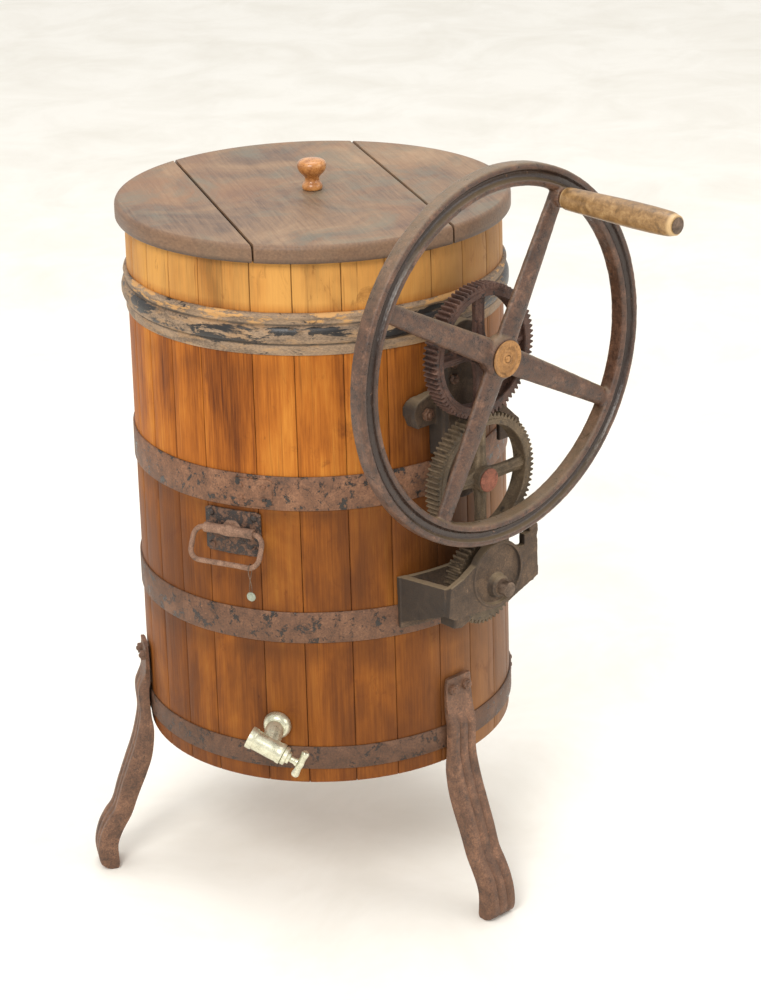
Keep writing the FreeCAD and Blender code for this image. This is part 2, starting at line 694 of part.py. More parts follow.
def make_upper_bracket():
    body = new_body("upper_bracket_cast")
    half = SPINE_W / 2
    pad(body, outline(sketch_on(body, "XZ_Plane", out=SPINE_BACK),
                      [(half, IDLER_Z - 4, 0, IDLER_Z - 34), (half, WHEEL_Z + 4),
                       (-half, WHEEL_Z + 4, 0, WHEEL_Z + 34), (-half, IDLER_Z - 4)]), SPINE_T)
    side = half + 4
    foot = [(side, 662), (side, 706), (66, 706), (72, 722), (54, 744, 68, 738), (side, 748), (side, 800),
            (-side, 800), (-side, 748), (-54, 744), (-72, 722, -68, 738), (-66, 706), (-side, 706), (-side, 662)]
    pad(body, outline(sketch_on(body, "XZ_Plane", out=225), foot), SPINE_BACK - 225)
    wing = [(80, 650), (118, 650), (118, 672), (84, 704), (80, 704)]
    pad(body, outline(sketch_on(body, "XZ_Plane", out=SPINE_BACK - 7), wing), 6)
    for z, radius in ((WHEEL_Z, AXLE_R), (IDLER_Z, AXLE_R - 1)):
        drill = circle(sketch_on(body, "XZ_Plane", along=z, out=SPINE_BACK - 1), radius)
        pocket(body, drill, SPINE_T + 5, backwards=True)
    bracket = cut("upper_bracket", body, tub_envelope("upper_bracket_seat", 0.2))
    keep("upper_bracket", on_axis(bracket))


def front_plate_outline():
    """The face of the lower bracket: an arch round the dish between two stepped ends."""
    rim = DISH_R + 4.5
    return [(-84, 512), (-88, 474), (-74, 466), (-50, 466), (0, 461), (22, 464), (76, 484), (74, 548), (50, 548),
            (50, 533), (37, DISH_Z + 26), (-39, DISH_Z + 22.5, 0, DISH_Z + rim), (-62, 519)]


def make_lower_bracket():
    body = new_body("lower_bracket_cast")
    pad(body, outline(sketch_on(body, "XZ_Plane", out=PLATE_BACK), front_plate_outline()), PLATE_T)
    front = PLATE_BACK + PLATE_T
    ring = sketch_on(body, "XZ_Plane", along=DISH_Z, out=front - 1)
    circle(circle(ring, DISH_R + 4), DISH_R)
    pad(body, ring, 3.5)
    dish = circle(sketch_on(body, "XZ_Plane", along=DISH_Z, out=front - 3), DISH_R)
    pocket(body, dish, 10, backwards=True)
    boss = circle(sketch_on(body, "XZ_Plane", along=SHAFT_Z, out=front - 4), SHAFT_R + 5)
    pad(body, boss, 10)
    arm = [(-(PLATE_BACK + 2), 474), (-(PLATE_BACK + 2), 512), (-235, 503), (-235, 436)]
    side_plate(body, -88, 12, arm)
    side_plate(body, 64, 12, arm)
    flange = [(-261, 432), (-261, 503), (-245, 503), (-245, 432)]
    revolution(body, outline(sketch_on(body, "YZ_Plane"), flange), "V_Axis", 40, both_ways=True)
    drill = circle(sketch_on(body, "XZ_Plane", along=SHAFT_Z, out=235), SHAFT_R + RUN_FIT)
    pocket(body, drill, 130, backwards=True)
    bracket = cut("lower_bracket", body, tub_envelope("lower_bracket_seat", HOOP_T + 0.3))
    keep("lower_bracket", on_axis(bracket))


# ---- the agitator -------------------------------------------------------------------------------------------

def make_agitator():
    inner = TUB_LOW_R - STAVE_T
    keep("agitator_shaft", on_axis(tube("agitator_shaft", None, SHAFT_R, -(inner - 12), SHAFT_TIP, SHAFT_Z)))
    half = PADDLE_W / 2
    discs = [tube("hub_disc_%d" % i, SHAFT_R, SHAFT_R + 30, at - 6.0, at + 6.0, SHAFT_Z)
             for i, at in enumerate((-80, 80))]
    hubs = doc.addObject("Part::Compound", "agitator_hubs")
    hubs.Links = discs
    keep("agitator_hubs", on_axis(hubs))
    rests = []
    for i in range(4):
        paddle = solid("Box", "paddle_%d" % i, Length=PADDLE_R - SHAFT_R - 27, Width=PADDLE_W, Height=PADDLE_T)
        turn = Rotation(Vector(0, 1, 0), 45.0 + 90.0 * i)
        corner = Vector(SHAFT_R.value + 27, -half.value, -PADDLE_T.value / 2)
        paddle.Placement = Placement(turn.multVec(corner) + Vector(0, 0, SHAFT_Z.value), turn)
        rests.append(paddle)
    paddles = doc.addObject("Part::Compound", "agitator_paddles")
    paddles.Links = rests
    keep("agitator_paddles", on_axis(paddles))
    bore = SHAFT_R + RUN_FIT
    gland = tube("shaft_gland", bore, bore + GLAND_WALL, inner - 10.5, TUB_LOW_R - 3, SHAFT_Z)
    flange = sketch_on(gland, "XZ_Plane", along=SHAFT_Z, out=inner - 10.5)
    circle(circle(flange, bore + 20), bore)
    pad(gland, flange, 6)
    keep("shaft_gland", on_axis(gland))
    rear = tube("rear_bearing_cast", bore, bore + 9, -inner, -(inner - 34), SHAFT_Z)
    plate = sketch_on(rear, "XZ_Plane", along=SHAFT_Z, out=-inner)
    pad(rear, circle(plate, bore + 22), 9)
    seat = solid("Cylinder", "rear_bearing_seat", Radius=inner - 3, Height=TUB_TOP_Z)
    bearing = doc.addObject("Part::Common", "rear_bearing")
    bearing.Base = rear
    bearing.Tool = seat
    keep("rear_bearing", on_axis(bearing))


# ---- legs ----------------------------------------------------------------------------------------

def leg_profile(relief):
    """A leg's side view from the plate down to the upturned toe; relief thins the outer face."""
    back = TUB_LOW_R
    plate = back + LEG_PLATE_T
    return [(back, LEG_TOP), (plate, LEG_TOP), (plate, 292),
            (274 - relief, 268, 263 - relief * 0.6, 282), (272 - relief, 228),
            (294 - relief, 158, 279 - relief, 192), (316 - relief, 92), (337 - relief, 60, 326 - relief, 76),
            (345 - relief, 24, 343.5 - relief, 42), (334, 0, 342 - relief, 7), (315, 0), (316, 20),
            (309, 56, 315, 40), (276, 127), (252, 180, 263, 157), (back, 204)]


def make_leg(name, azimuth):
    body = new_body(name + "_cast")
    pad(body, outline(sketch_on(body, "XZ_Plane"), leg_profile(5.0)), LEG_W, both_ways=True)
    rib_w = LEG_W / 4.2
    for side in (-1, 0, 1):
        ridge = outline(sketch_on(body, "XZ_Plane", out=(LEG_W - rib_w) / 2 * side), leg_profile(0.0))
        pad(body, ridge, rib_w, both_ways=True)
    seat = tub_envelope(name + "_seat", HOOP_T + 0.3)
    leg = cut(name, body, seat)
    leg.Placement = Placement(Vector(0, 0, 0), Rotation(UP, azimuth))
    keep(name, on_axis(leg))


def make_legs():
    for i in range(3):
        make_leg("leg_%d" % (i + 1), LEG_FIRST.value + 120.0 * i)


# ---- fasteners -----------------------------------------------------------------------------------

def hex_head(at, outward, across=13.0, height=6.0):
    """A hexagonal nut or bolt head standing on a face, with the bolt's end showing."""
    turn = Rotation(UP, outward)
    corner_r = across / math.sqrt(3.0)
    ring = [Vector(corner_r * math.cos(math.radians(60 * i)), corner_r * math.sin(math.radians(60 * i)), 0)
            for i in range(7)]
    nut = Part.Face(Part.makePolygon(ring)).extrude(Vector(0, 0, height))
    end = Part.makeCylinder(across * 0.27, 2.5, Vector(0, 0, height))
    whole = nut.fuse(end)
    whole.Placement = Placement(at, turn)
    return whole


def radial(azimuth):
    turn = math.radians(azimuth)
    return Vector(math.cos(turn), math.sin(turn), 0)


def make_fasteners():
    """Two bolts on each leg, nuts on the upper bracket and coach bolts on the lower one."""
    leg_bolts, front = [], Vector(0, -1, 0)
    for i in range(3):
        azimuth = LEG_FIRST.value + 120.0 * i
        across = UP.cross(radial(azimuth)) * 12.5
        face = TUB_LOW_R.value + LEG_PLATE_T.value
        leg_bolts += [hex_head(polar(face, azimuth, 322) + across * side, radial(azimuth)) for side in (-1, 1)]
    keep("leg_bolts", feature("leg_bolts", Part.makeCompound(leg_bolts)))
    spine_front = TUB_AXIS_Y.value - SPINE_BACK.value - SPINE_T.value
    ear_front = TUB_AXIS_Y.value - SPINE_BACK.value
    nuts = []
    for x in (-20, 20):
        for drop in (18, 39):
            nuts.append(hex_head(Vector(x, spine_front, WHEEL_Z.value - drop), front, 12.0, 5.0))
    for x in (-51, 51):
        nuts.append(hex_head(Vector(x, ear_front, 723), front, 15.0, 7.0))
    keep("upper_bracket_nuts", feature("upper_bracket_nuts", Part.makeCompound(nuts)))
    coach = []
    for side in (-1, 1):
        azimuth = LEG_FIRST.value + side * 11.5
        coach.append(hex_head(polar(261, azimuth, 446), radial(azimuth), 14.0, 6.0))
    keep("lower_bracket_bolts", feature("lower_bracket_bolts", Part.makeCompound(coach)))


# ---- drop handles --------------------------------------------------------------------------------

def make_drop_handle(side, azimuth):
    """A curved plate with a barrel across it, and the closed loop of rod that hangs in the barrel."""
    name = "handle_plate_" + side
    body = new_body(name)
    wall = tub_radius(HANDLE_PLATE_LOW) + 0.1
    strap = [(wall, HANDLE_PLATE_LOW), (wall + 3, HANDLE_PLATE_LOW), (wall + 3, HANDLE_PLATE_HIGH),
             (wall, HANDLE_PLATE_HIGH)]
    revolution(body, outline(sketch_on(body, "XZ_Plane"), strap), "V_Axis", HANDLE_HALF_ANGLE * 2, both_ways=True)
    saddle = [(wall + 1, PIVOT_Z - 8), (PIVOT_OUT, PIVOT_Z - 5.6), (PIVOT_OUT, PIVOT_Z + 5.6),
              (wall + 1, PIVOT_Z + 10)]
    pad(body, outline(sketch_on(body, "XZ_Plane"), saddle), 22, both_ways=True)
    bore = BAIL_ROD_R + 0.45
    barrel = circle(sketch_on(body, "XZ_Plane", across=PIVOT_OUT, along=PIVOT_Z), bore + 2)
    pad(body, barrel, BAIL_HALF_W * 2 - 28, both_ways=True)
    drill = circle(sketch_on(body, "XZ_Plane", across=PIVOT_OUT, along=PIVOT_Z), bore)
    pocket(body, drill, 100, both_ways=True)
    body.Placement = Placement(Vector(0, 0, 0), Rotation(UP, azimuth))
    keep(name, on_axis(body))
    screws = []
    for off in (-7.0, 7.0):
        for z in (HANDLE_PLATE_LOW.value + 8, HANDLE_PLATE_HIGH.value - 8):
            at = polar(wall.value + 3.03, azimuth + off, z)
            screws.append(domed_rivet(at, radial(azimuth + off), 4.2, 2.4))
    keep("handle_screws_" + side, feature("handle_screws_" + side, Part.makeCompound(screws)))
    make_bail("bail_" + side, azimuth)


def make_bail(name, azimuth):
    body = new_body(name)
    spine = sketch_on(body, "YZ_Plane")
    half, drop, bend = BAIL_HALF_W.value, BAIL_DROP.value, 9.0
    slant = bend * (1 - math.sqrt(0.5))
    path = [(half - bend, 0), (half, -bend, half - slant, -slant), (half, -drop + bend),
            (half - bend, -drop, half - slant, -drop + slant), (-half + bend, -drop),
            (-half, -drop + bend, -half + slant, -drop + slant), (-half, -bend),
            (-half + bend, 0, -half + slant, -slant)]
    outline(spine, path)
    rod = circle(sketch_on(body, "XZ_Plane"), BAIL_ROD_R)
    pipe = body.newObject("PartDesign::AdditivePipe", name + "_rod")
    pipe.Profile = rod
    pipe.Spine = (spine, [])
    lean = Rotation(UP, azimuth) * Rotation(Vector(0, 1, 0), -BAIL_LEAN.value)
    body.Placement = Placement(polar(PIVOT_OUT.value, azimuth, PIVOT_Z.value), lean)
    keep(name, body)


def make_seal():
    """A loop of wire round the handle's rod, with a round lead seal pressed on its ends."""
    lean = math.radians(BAIL_LEAN.value)
    out = PIVOT_OUT.value + BAIL_DROP.value * math.sin(lean)
    low = PIVOT_Z.value - BAIL_DROP.value * math.cos(lean)
    azimuth = HANDLE_AZ.value
    along = UP.cross(radial(azimuth))
    rod = polar(out, azimuth, low) + along * 39.0
    wire_r, eye_r = 0.6, BAIL_ROD_R.value + 1.1
    eye = Part.makeTorus(eye_r, wire_r, rod, along)
    strand = Part.makeCylinder(wire_r, 30.0, rod - UP * (eye_r + 30.0 - 0.3), UP)
    keep("seal_wire", feature("seal_wire", eye.fuse(strand)))
    centre = rod - UP * (eye_r + 30.0 + 5.0)
    disc = Part.makeCylinder(6.4, 3.6, centre - radial(azimuth) * 1.8, radial(azimuth))
    keep("lead_seal", feature("lead_seal", disc))
    return rod


# ---- the drain tap -------------------------------------------------------------------------------

def tap_place(item):
    """The tap's own X axis runs down its barrel, from the outlet to the key."""
    turn = Rotation(UP, TAP_AZ.value + 90.0) * Rotation(Vector(0, 1, 0), TAP_TILT.value)
    item.Placement = Placement(tap_centre(), turn).multiply(item.Placement)
    return item


def tap_centre():
    return polar(tub_radius(TAP_Z).value + TAP_OUT.value, TAP_AZ.value, TAP_Z.value - TAP_DROP.value)


def tap_neck_line():
    """The neck's start, inside the staves, and its run from there to the barrel."""
    start = polar(tub_radius(TAP_Z).value - 16, TAP_AZ.value, TAP_Z.value)
    return start, tap_centre() - start


def along_x(name, radius, start, stop):
    """A cylinder on the tap's barrel axis."""
    item = solid("Cylinder", name, Radius=radius, Height=stop - start)
    item.Placement = Placement(Vector(start, 0, 0), Rotation(Vector(0, 1, 0), 90))
    return item


def make_tap():
    wall, reach = tap_neck_line()
    face = polar(tub_radius(TAP_Z).value + 0.3, TAP_AZ.value, TAP_Z.value)
    barrel = [along_x("tap_barrel", TAP_R, -24, 20), along_x("tap_lip", TAP_R + 1.5, -30, -20)]
    shell = fused("tap_shell", barrel)
    tap_place(shell)
    neck = solid("Cylinder", "tap_neck", Radius=TAP_NECK_R, Height=reach.Length)
    neck.Placement = Placement(wall, Rotation(UP, reach))
    flange = solid("Cone", "tap_flange", Radius1=19, Radius2=14, Height=11)
    flange.Placement = Placement(face, Rotation(UP, radial(TAP_AZ.value)))
    passage = along_x("tap_passage", 7, -32, 22)
    tap_place(passage)
    keep("tap_body", cut("tap_body", fused("tap_cast", [shell, neck, flange]), passage))
    gland = fused("tap_gland_blank", [along_x("tap_collar", TAP_R - 1, 20, 27), along_x("tap_neckring", 8, 27, 31)])
    hole = along_x("tap_gland_hole", RUN_FIT + 4.5, 15, 35)
    keep("tap_gland", tap_place(cut("tap_gland", gland, hole)))
    stem = along_x("tap_stem", 4.5, 4, 46)
    plug = along_x("tap_plug_core", -RUN_FIT + 7, -6, 16)
    bar = solid("Cylinder", "tap_bar", Radius=TAP_BAR_R, Height=41)
    bar.Placement = Placement(Vector(46, 0, -20.5), Rotation())
    keep("tap_key", tap_place(fused("tap_key", [stem, plug, bar])))


# ---- build, check and write ----------------------------------------------------------------------

def build():
    make_staves()
    make_bottom()
    make_hoops()
    make_lid()
    big_gear("top_gear", WHEEL_Z, -90.0, HUB_FRONT, AXLE_R + RUN_FIT)
    half_pitch = FULL_TURN / BIG_TEETH.value / 2
    big_gear("middle_gear", IDLER_Z, 90.0 + half_pitch, HUB_FRONT - 3, AXLE_R - 1 + RUN_FIT)
    small_gear()
    make_handwheel()
    make_grip()
    make_axles()
    make_upper_bracket()
    make_lower_bracket()
    make_agitator()
    make_legs()
    make_fasteners()
    make_drop_handle("left", HANDLE_AZ.value)
    make_drop_handle("right", HANDLE_AZ.value + 180.0)
    make_seal()
    make_tap()


def check():
    doc.recompute()
    for item in doc.Objects:
        if "Invalid" in item.State or "Error" in item.State:
            raise RuntimeError("%s did not build: %s" % (item.Name, item.State))
    for name, item in NODES.items():
        if item.Shape.isNull() or not item.Shape.isValid():
            raise RuntimeError(name + " has no valid shape")


def write():
    os.makedirs("parts", exist_ok=True)
    whole = FreeCAD.BoundBox()
    for name, item in NODES.items():
        item.Shape.exportStep("parts/" + name + ".step")
        whole.add(item.Shape.optimalBoundingBox(False))
        box = item.Shape.optimalBoundingBox(False)
        print("%-22s %3d solids %9.1f cm3  %s" % (name, len(item.Shape.Solids), item.Shape.Volume / 1000, box))
    print("box", whole)


build()
check()
write()
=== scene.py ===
import math
import random

import bmesh
import bpy
from mathutils import Matrix, Vector, noise


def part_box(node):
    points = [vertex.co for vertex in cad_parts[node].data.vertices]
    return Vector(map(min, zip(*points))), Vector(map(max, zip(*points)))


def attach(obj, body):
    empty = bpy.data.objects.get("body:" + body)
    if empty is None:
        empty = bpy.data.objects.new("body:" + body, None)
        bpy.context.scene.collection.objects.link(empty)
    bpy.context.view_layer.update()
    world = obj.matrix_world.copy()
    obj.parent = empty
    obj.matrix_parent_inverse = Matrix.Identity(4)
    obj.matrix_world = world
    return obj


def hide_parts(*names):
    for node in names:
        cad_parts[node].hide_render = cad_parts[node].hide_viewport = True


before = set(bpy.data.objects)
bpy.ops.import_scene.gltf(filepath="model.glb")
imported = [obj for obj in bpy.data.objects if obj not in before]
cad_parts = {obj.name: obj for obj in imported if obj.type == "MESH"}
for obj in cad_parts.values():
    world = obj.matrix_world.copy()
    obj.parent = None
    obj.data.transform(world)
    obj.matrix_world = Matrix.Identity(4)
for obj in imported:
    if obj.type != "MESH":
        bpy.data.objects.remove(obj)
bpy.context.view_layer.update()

# Looks for the hand-cranked barrel washer.  Lengths are in millimetres until a mesh is made.
# "d" is the distance from the tub's own axis towards the crank side, which is -Y.

MM = 0.001
RANDOM = random.Random(7)


# ---- named sizes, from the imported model

def centre_of(node):
    low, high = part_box(node)
    return (low + high) / (2 * MM)


def top_of(node):
    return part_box(node)[1].z / MM


AXIS_Y = centre_of("tub_bottom").y
LID_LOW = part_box("lid_board_centre")[0].z / MM
LID_TOP = top_of("lid_board_centre")
WHEEL_Z = centre_of("wheel_axle").z
IDLER_Z = centre_of("idler_axle").z
SHAFT_Z = centre_of("agitator_shaft").z
TUB_TOP_Z = top_of("staves")
TUB_LOW_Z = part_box("staves")[0].z / MM
TUB_LOW_R = (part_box("staves")[1].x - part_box("staves")[0].x) / (2 * MM)
TUB_TOP_R = 248.0
STAVE_T = 22.0
CROZE_LOW = 240.0
CROZE_HIGH = 262.0
HOOP_T = 2.4
BEAD_HOOP = (813.0, 868.0)
LID_R = 260.0
BOARD_TURN = 63.6
SEAMS = (-119.0, 136.7)
SEAM_GAP = 2.4
GEAR_BACK = 294.0
GEAR_FACE = 22.0
GEAR_MODULE = 2.25
BIG_TEETH = 76
SMALL_TEETH = 50
BRACKET_BACK = 255.0
WHEEL_MID = 342.5
WHEEL_TURN = 61.5
GRIP_RAD = 211.0
WASHER_D = 354.5
LEG_AZIMUTHS = (-90.0, 30.0, 150.0)
LEG_BOLT_Z = 322.0
TAP_AZ = -147.3
TAP_Z = 300.0
HANDLE_AZ = -158.9
PIVOT_Z = 574.0
PIVOT_OUT = 262.5
PLATE_LOW = 538.0
STAVE_SEAMS = (-179.5, -167.6, -150.6, -138.2, -124.0, -111.0, -95.5, -82.6, -68.9, -55.8, -41.0, -26.0,
               -12.5, 3.0, 17.0, 31.5, 46.0, 59.0, 74.0, 88.0, 103.0, 116.0, 131.0, 144.0, 157.0, 169.0)
# Each flat hoop: its node, lower and upper edge, and the azimuth of its lapped ends.
HOOPS = (("hoop_2", 605.0, 651.0, -152.0), ("hoop_3", 420.0, 463.0, 62.0), ("hoop_4", 237.0, 269.0, -33.0))


def tub_radius(z):
    return TUB_LOW_R + (TUB_TOP_R - TUB_LOW_R) * (z - TUB_LOW_Z) / (TUB_TOP_Z - TUB_LOW_Z)


# ---- places

def facing(azimuth, radius, z):
    """A local frame on the tub: X runs round to the right, Y up, and Z straight out."""
    turn = math.radians(azimuth)
    out = Vector((math.cos(turn), math.sin(turn), 0))
    across = Vector((-math.sin(turn), math.cos(turn), 0))
    made = Matrix((across, (0, 0, 1), out)).transposed().to_4x4()
    made.translation = out * radius + Vector((0, AXIS_Y, z))
    return made


def front(z, d=0.0):
    """A local frame on the crank side, at a height and a distance from the tub's axis."""
    return facing(-90.0, d, z)


def around(turn, radius, z):
    """A point on a circle about the local Z, for a turn in radians."""
    return (radius * math.cos(turn), radius * math.sin(turn), z)


def on_tub(turn, out, z):
    """A point that stands out from the sloping side of the tub."""
    return around(turn, tub_radius(z) + out, z)


UPRIGHT = Matrix.Translation((0, AXIS_Y, 0))


# ---- mesh building

class Shape:
    """Collects closed shells in millimetres, and turns them into one mesh object."""

    def __init__(self):
        self.verts = []
        self.faces = []
        self.values = {}

    def point(self, co, place, **values):
        self.verts.append(place @ Vector(co))
        index = len(self.verts) - 1
        for key, value in values.items():
            self.mark(key, index, value)
        return index

    def mark(self, key, index, value):
        """Stores a named value on a point, for its material to read."""
        self.values.setdefault(key, {})[index] = value

    def loft(self, rows, place=Matrix.Identity(4), ring=False, **values):
        """Joins closed loops of equal length; ring joins the last loop to the first."""
        marks = [[self.point(co, place, **values) for co in row] for row in rows]
        count = len(marks[0])
        following = marks[1:] + marks[:1] if ring else marks[1:]
        for one, two in zip(marks, following):
            for i in range(count):
                j = (i + 1) % count
                self.faces.append((one[i], one[j], two[j], two[i]))
        if not ring:
            self.faces.append(tuple(reversed(marks[0])))
            self.faces.append(tuple(marks[-1]))
        return marks

    def turned(self, profile, place, steps=48, ring=False):
        """A profile of (radius, height) turned about the local Z; ring for one that closes on itself."""
        rows = [[around(a, radius, height) for a in angles(steps)] for radius, height in profile]
        return self.loft(rows, place, ring=ring)

    def prism(self, points, low, high, place, edge=1.0):
        """A flat outline drawn out from low to high, with its edges broken."""
        inner = inset(points, edge)
        rows = [(inner, low), (points, low + edge), (points, high - edge), (inner, high)]
        return self.loft([[(x, y, z) for x, y in loop] for loop, z in rows], place)

    def pipe(self, path, radius, place=Matrix.Identity(4), sides=14, closed=False):
        """A round rod along a path; radius may be a number or one for each point."""
        path = [Vector(p) for p in path]
        radii = radius if isinstance(radius, (list, tuple)) else [radius] * len(path)
        rows = []
        side = None
        for i, at in enumerate(path):
            before = path[i - 1] if i or closed else at
            after = path[(i + 1) % len(path)] if i + 1 < len(path) or closed else at
            along = (after - before).normalized()
            guess = side or (Vector((0, 0, 1)) if abs(along.z) < 0.9 else Vector((1, 0, 0)))
            side = (guess - along * guess.dot(along)).normalized()
            other = along.cross(side)
            rows.append([at + (side * math.cos(a) + other * math.sin(a)) * radii[i] for a in angles(sides)])
        return self.loft(rows, place, ring=closed)

    def object(self, name, material, body, nodes=(), crease=38.0):
        mesh = bpy.data.meshes.new(name)
        mesh.from_pydata([co * MM for co in self.verts], [], self.faces)
        for key, table in self.values.items():
            layer = mesh.attributes.new(key, "FLOAT", "POINT")
            layer.data.foreach_set("value", [table.get(i, 0.0) for i in range(len(self.verts))])
        return settle(name, mesh, material, body, nodes, crease)


def settle(name, mesh, material, body, nodes=(), crease=38.0):
    """Cleans a mesh, makes its object, and ties it to its body, slot and CAD nodes."""
    work = bmesh.new()
    work.from_mesh(mesh)
    bmesh.ops.remove_doubles(work, verts=work.verts, dist=1e-6)
    bmesh.ops.dissolve_degenerate(work, edges=work.edges, dist=1e-7)
    bmesh.ops.recalc_face_normals(work, faces=work.faces)
    work.to_mesh(mesh)
    work.free()
    mesh.materials.clear()
    mesh.materials.append(material)
    mesh.polygons.foreach_set("use_smooth", [True] * len(mesh.polygons))
    mesh.set_sharp_from_angle(angle=math.radians(crease))
    obj = bpy.data.objects.new(name, mesh)
    bpy.context.scene.collection.objects.link(obj)
    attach(obj, body)
    if nodes:
        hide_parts(*nodes)
    return obj


def angles(steps):
    return [2 * math.pi * i / steps for i in range(steps)]


def inset(points, amount):
    """Moves each corner of an anticlockwise outline inwards along its mitre."""
    area = sum(a[0] * b[1] - b[0] * a[1] for a, b in zip(points, points[1:] + points[:1]))
    sign = 1.0 if area > 0 else -1.0
    made = []
    for i, here in enumerate(points):
        one = (Vector(here) - Vector(points[i - 1])).normalized()
        two = (Vector(points[(i + 1) % len(points)]) - Vector(here)).normalized()
        bend = Vector((-(one.y + two.y), one.x + two.x)) * sign
        length = max(bend.length, 0.5)
        shift = bend.normalized() * amount * min(2.0 / length, 1.6)
        made.append((here[0] + shift.x, here[1] + shift.y))
    return made


def smooth_line(points, steps):
    """A smooth line through 2-D or 3-D points."""
    points = [Vector(p) for p in points]
    made = []
    for i in range(len(points) - 1):
        p0 = points[max(i - 1, 0)]
        p1, p2 = points[i], points[i + 1]
        p3 = points[min(i + 2, len(points) - 1)]
        for k in range(steps):
            t = k / steps
            made.append(0.5 * (2 * p1 + (p2 - p0) * t + (2 * p0 - 5 * p1 + 4 * p2 - p3) * t * t
                               + (3 * p1 - p0 - 3 * p2 + p3) * t ** 3))
    return made + [points[-1]]


def copied(node):
    """A welded copy of a CAD node's mesh."""
    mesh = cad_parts[node].data.copy()
    work = bmesh.new()
    work.from_mesh(mesh)
    bmesh.ops.remove_doubles(work, verts=work.verts, dist=1e-6)
    work.to_mesh(mesh)
    work.free()
    return mesh


def with_modifiers(mesh, *settings):
    """A mesh after a list of (kind, {property: value}) modifiers."""
    carrier = bpy.data.objects.new("carrier", mesh)
    bpy.context.scene.collection.objects.link(carrier)
    for kind, values in settings:
        modifier = carrier.modifiers.new(kind, kind)
        for key, value in values.items():
            setattr(modifier, key, value)
    ready = carrier.evaluated_get(bpy.context.evaluated_depsgraph_get())
    made = bpy.data.meshes.new_from_object(ready)
    bpy.data.objects.remove(carrier)
    return made


def softened(node, name, material, body, width=0.6):
    """A CAD shape with its sharp edges broken, for turned and sawn pieces."""
    bevel = ("BEVEL", {"width": width * MM, "segments": 2, "limit_method": "ANGLE",
                       "angle_limit": math.radians(35), "use_clamp_overlap": True})
    return settle(name, with_modifiers(copied(node), bevel), material, body, (node,), 45.0)


def cast(mesh, name, material, body, nodes, grain=1.8, rounds=5, lumps=0.25):
    """A casting: one skin over the joined shells, with soft corners and a slightly lumpy face."""
    remesh = ("REMESH", {"mode": "VOXEL", "voxel_size": grain * MM, "adaptivity": 0.0})
    smooth = ("SMOOTH", {"factor": 0.5, "iterations": rounds})
    corners = [vert.co for vert in mesh.vertices]
    low, high = [[pick(co[k] for co in corners) for k in range(3)] for pick in (min, max)]
    made = with_modifiers(mesh, remesh, smooth)
    places = [vert.co.copy() for vert in made.vertices]
    outward = [vert.normal.copy() for vert in made.vertices]
    for i, (place, normal) in enumerate(zip(places, outward)):
        lump = noise.noise(place * 110.0) * 0.7 + noise.noise(place * 320.0) * 0.4
        moved = place + normal * lump * lumps * MM
        places[i] = [min(max(moved[k], low[k]), high[k]) for k in range(3)]
    made.vertices.foreach_set("co", [value for place in places for value in place])
    return settle(name, made, material, body, nodes, 70.0)


def joined(node, shape):
    """A CAD node's mesh together with added shells."""
    extra = bpy.data.meshes.new("extra")
    extra.from_pydata([co * MM for co in shape.verts], [], shape.faces)
    work = bmesh.new()
    work.from_mesh(copied(node))
    work.from_mesh(extra)
    bmesh.ops.recalc_face_normals(work, faces=work.faces)
    made = bpy.data.meshes.new("joined")
    work.to_mesh(made)
    work.free()
    return made


# ---- shader building

def paint(red, green, blue):
    """An sRGB colour as the linear one that a shader takes."""
    tones = []
    for value in (red, green, blue):
        share = value / 255.0
        tones.append(share / 12.92 if share <= 0.04045 else ((share + 0.055) / 1.055) ** 2.4)
    return tuple(tones) + (1.0,)


def shade(tone, share):
    """A colour made darker or lighter."""
    return tuple(min(255, int(value * share)) for value in tone)


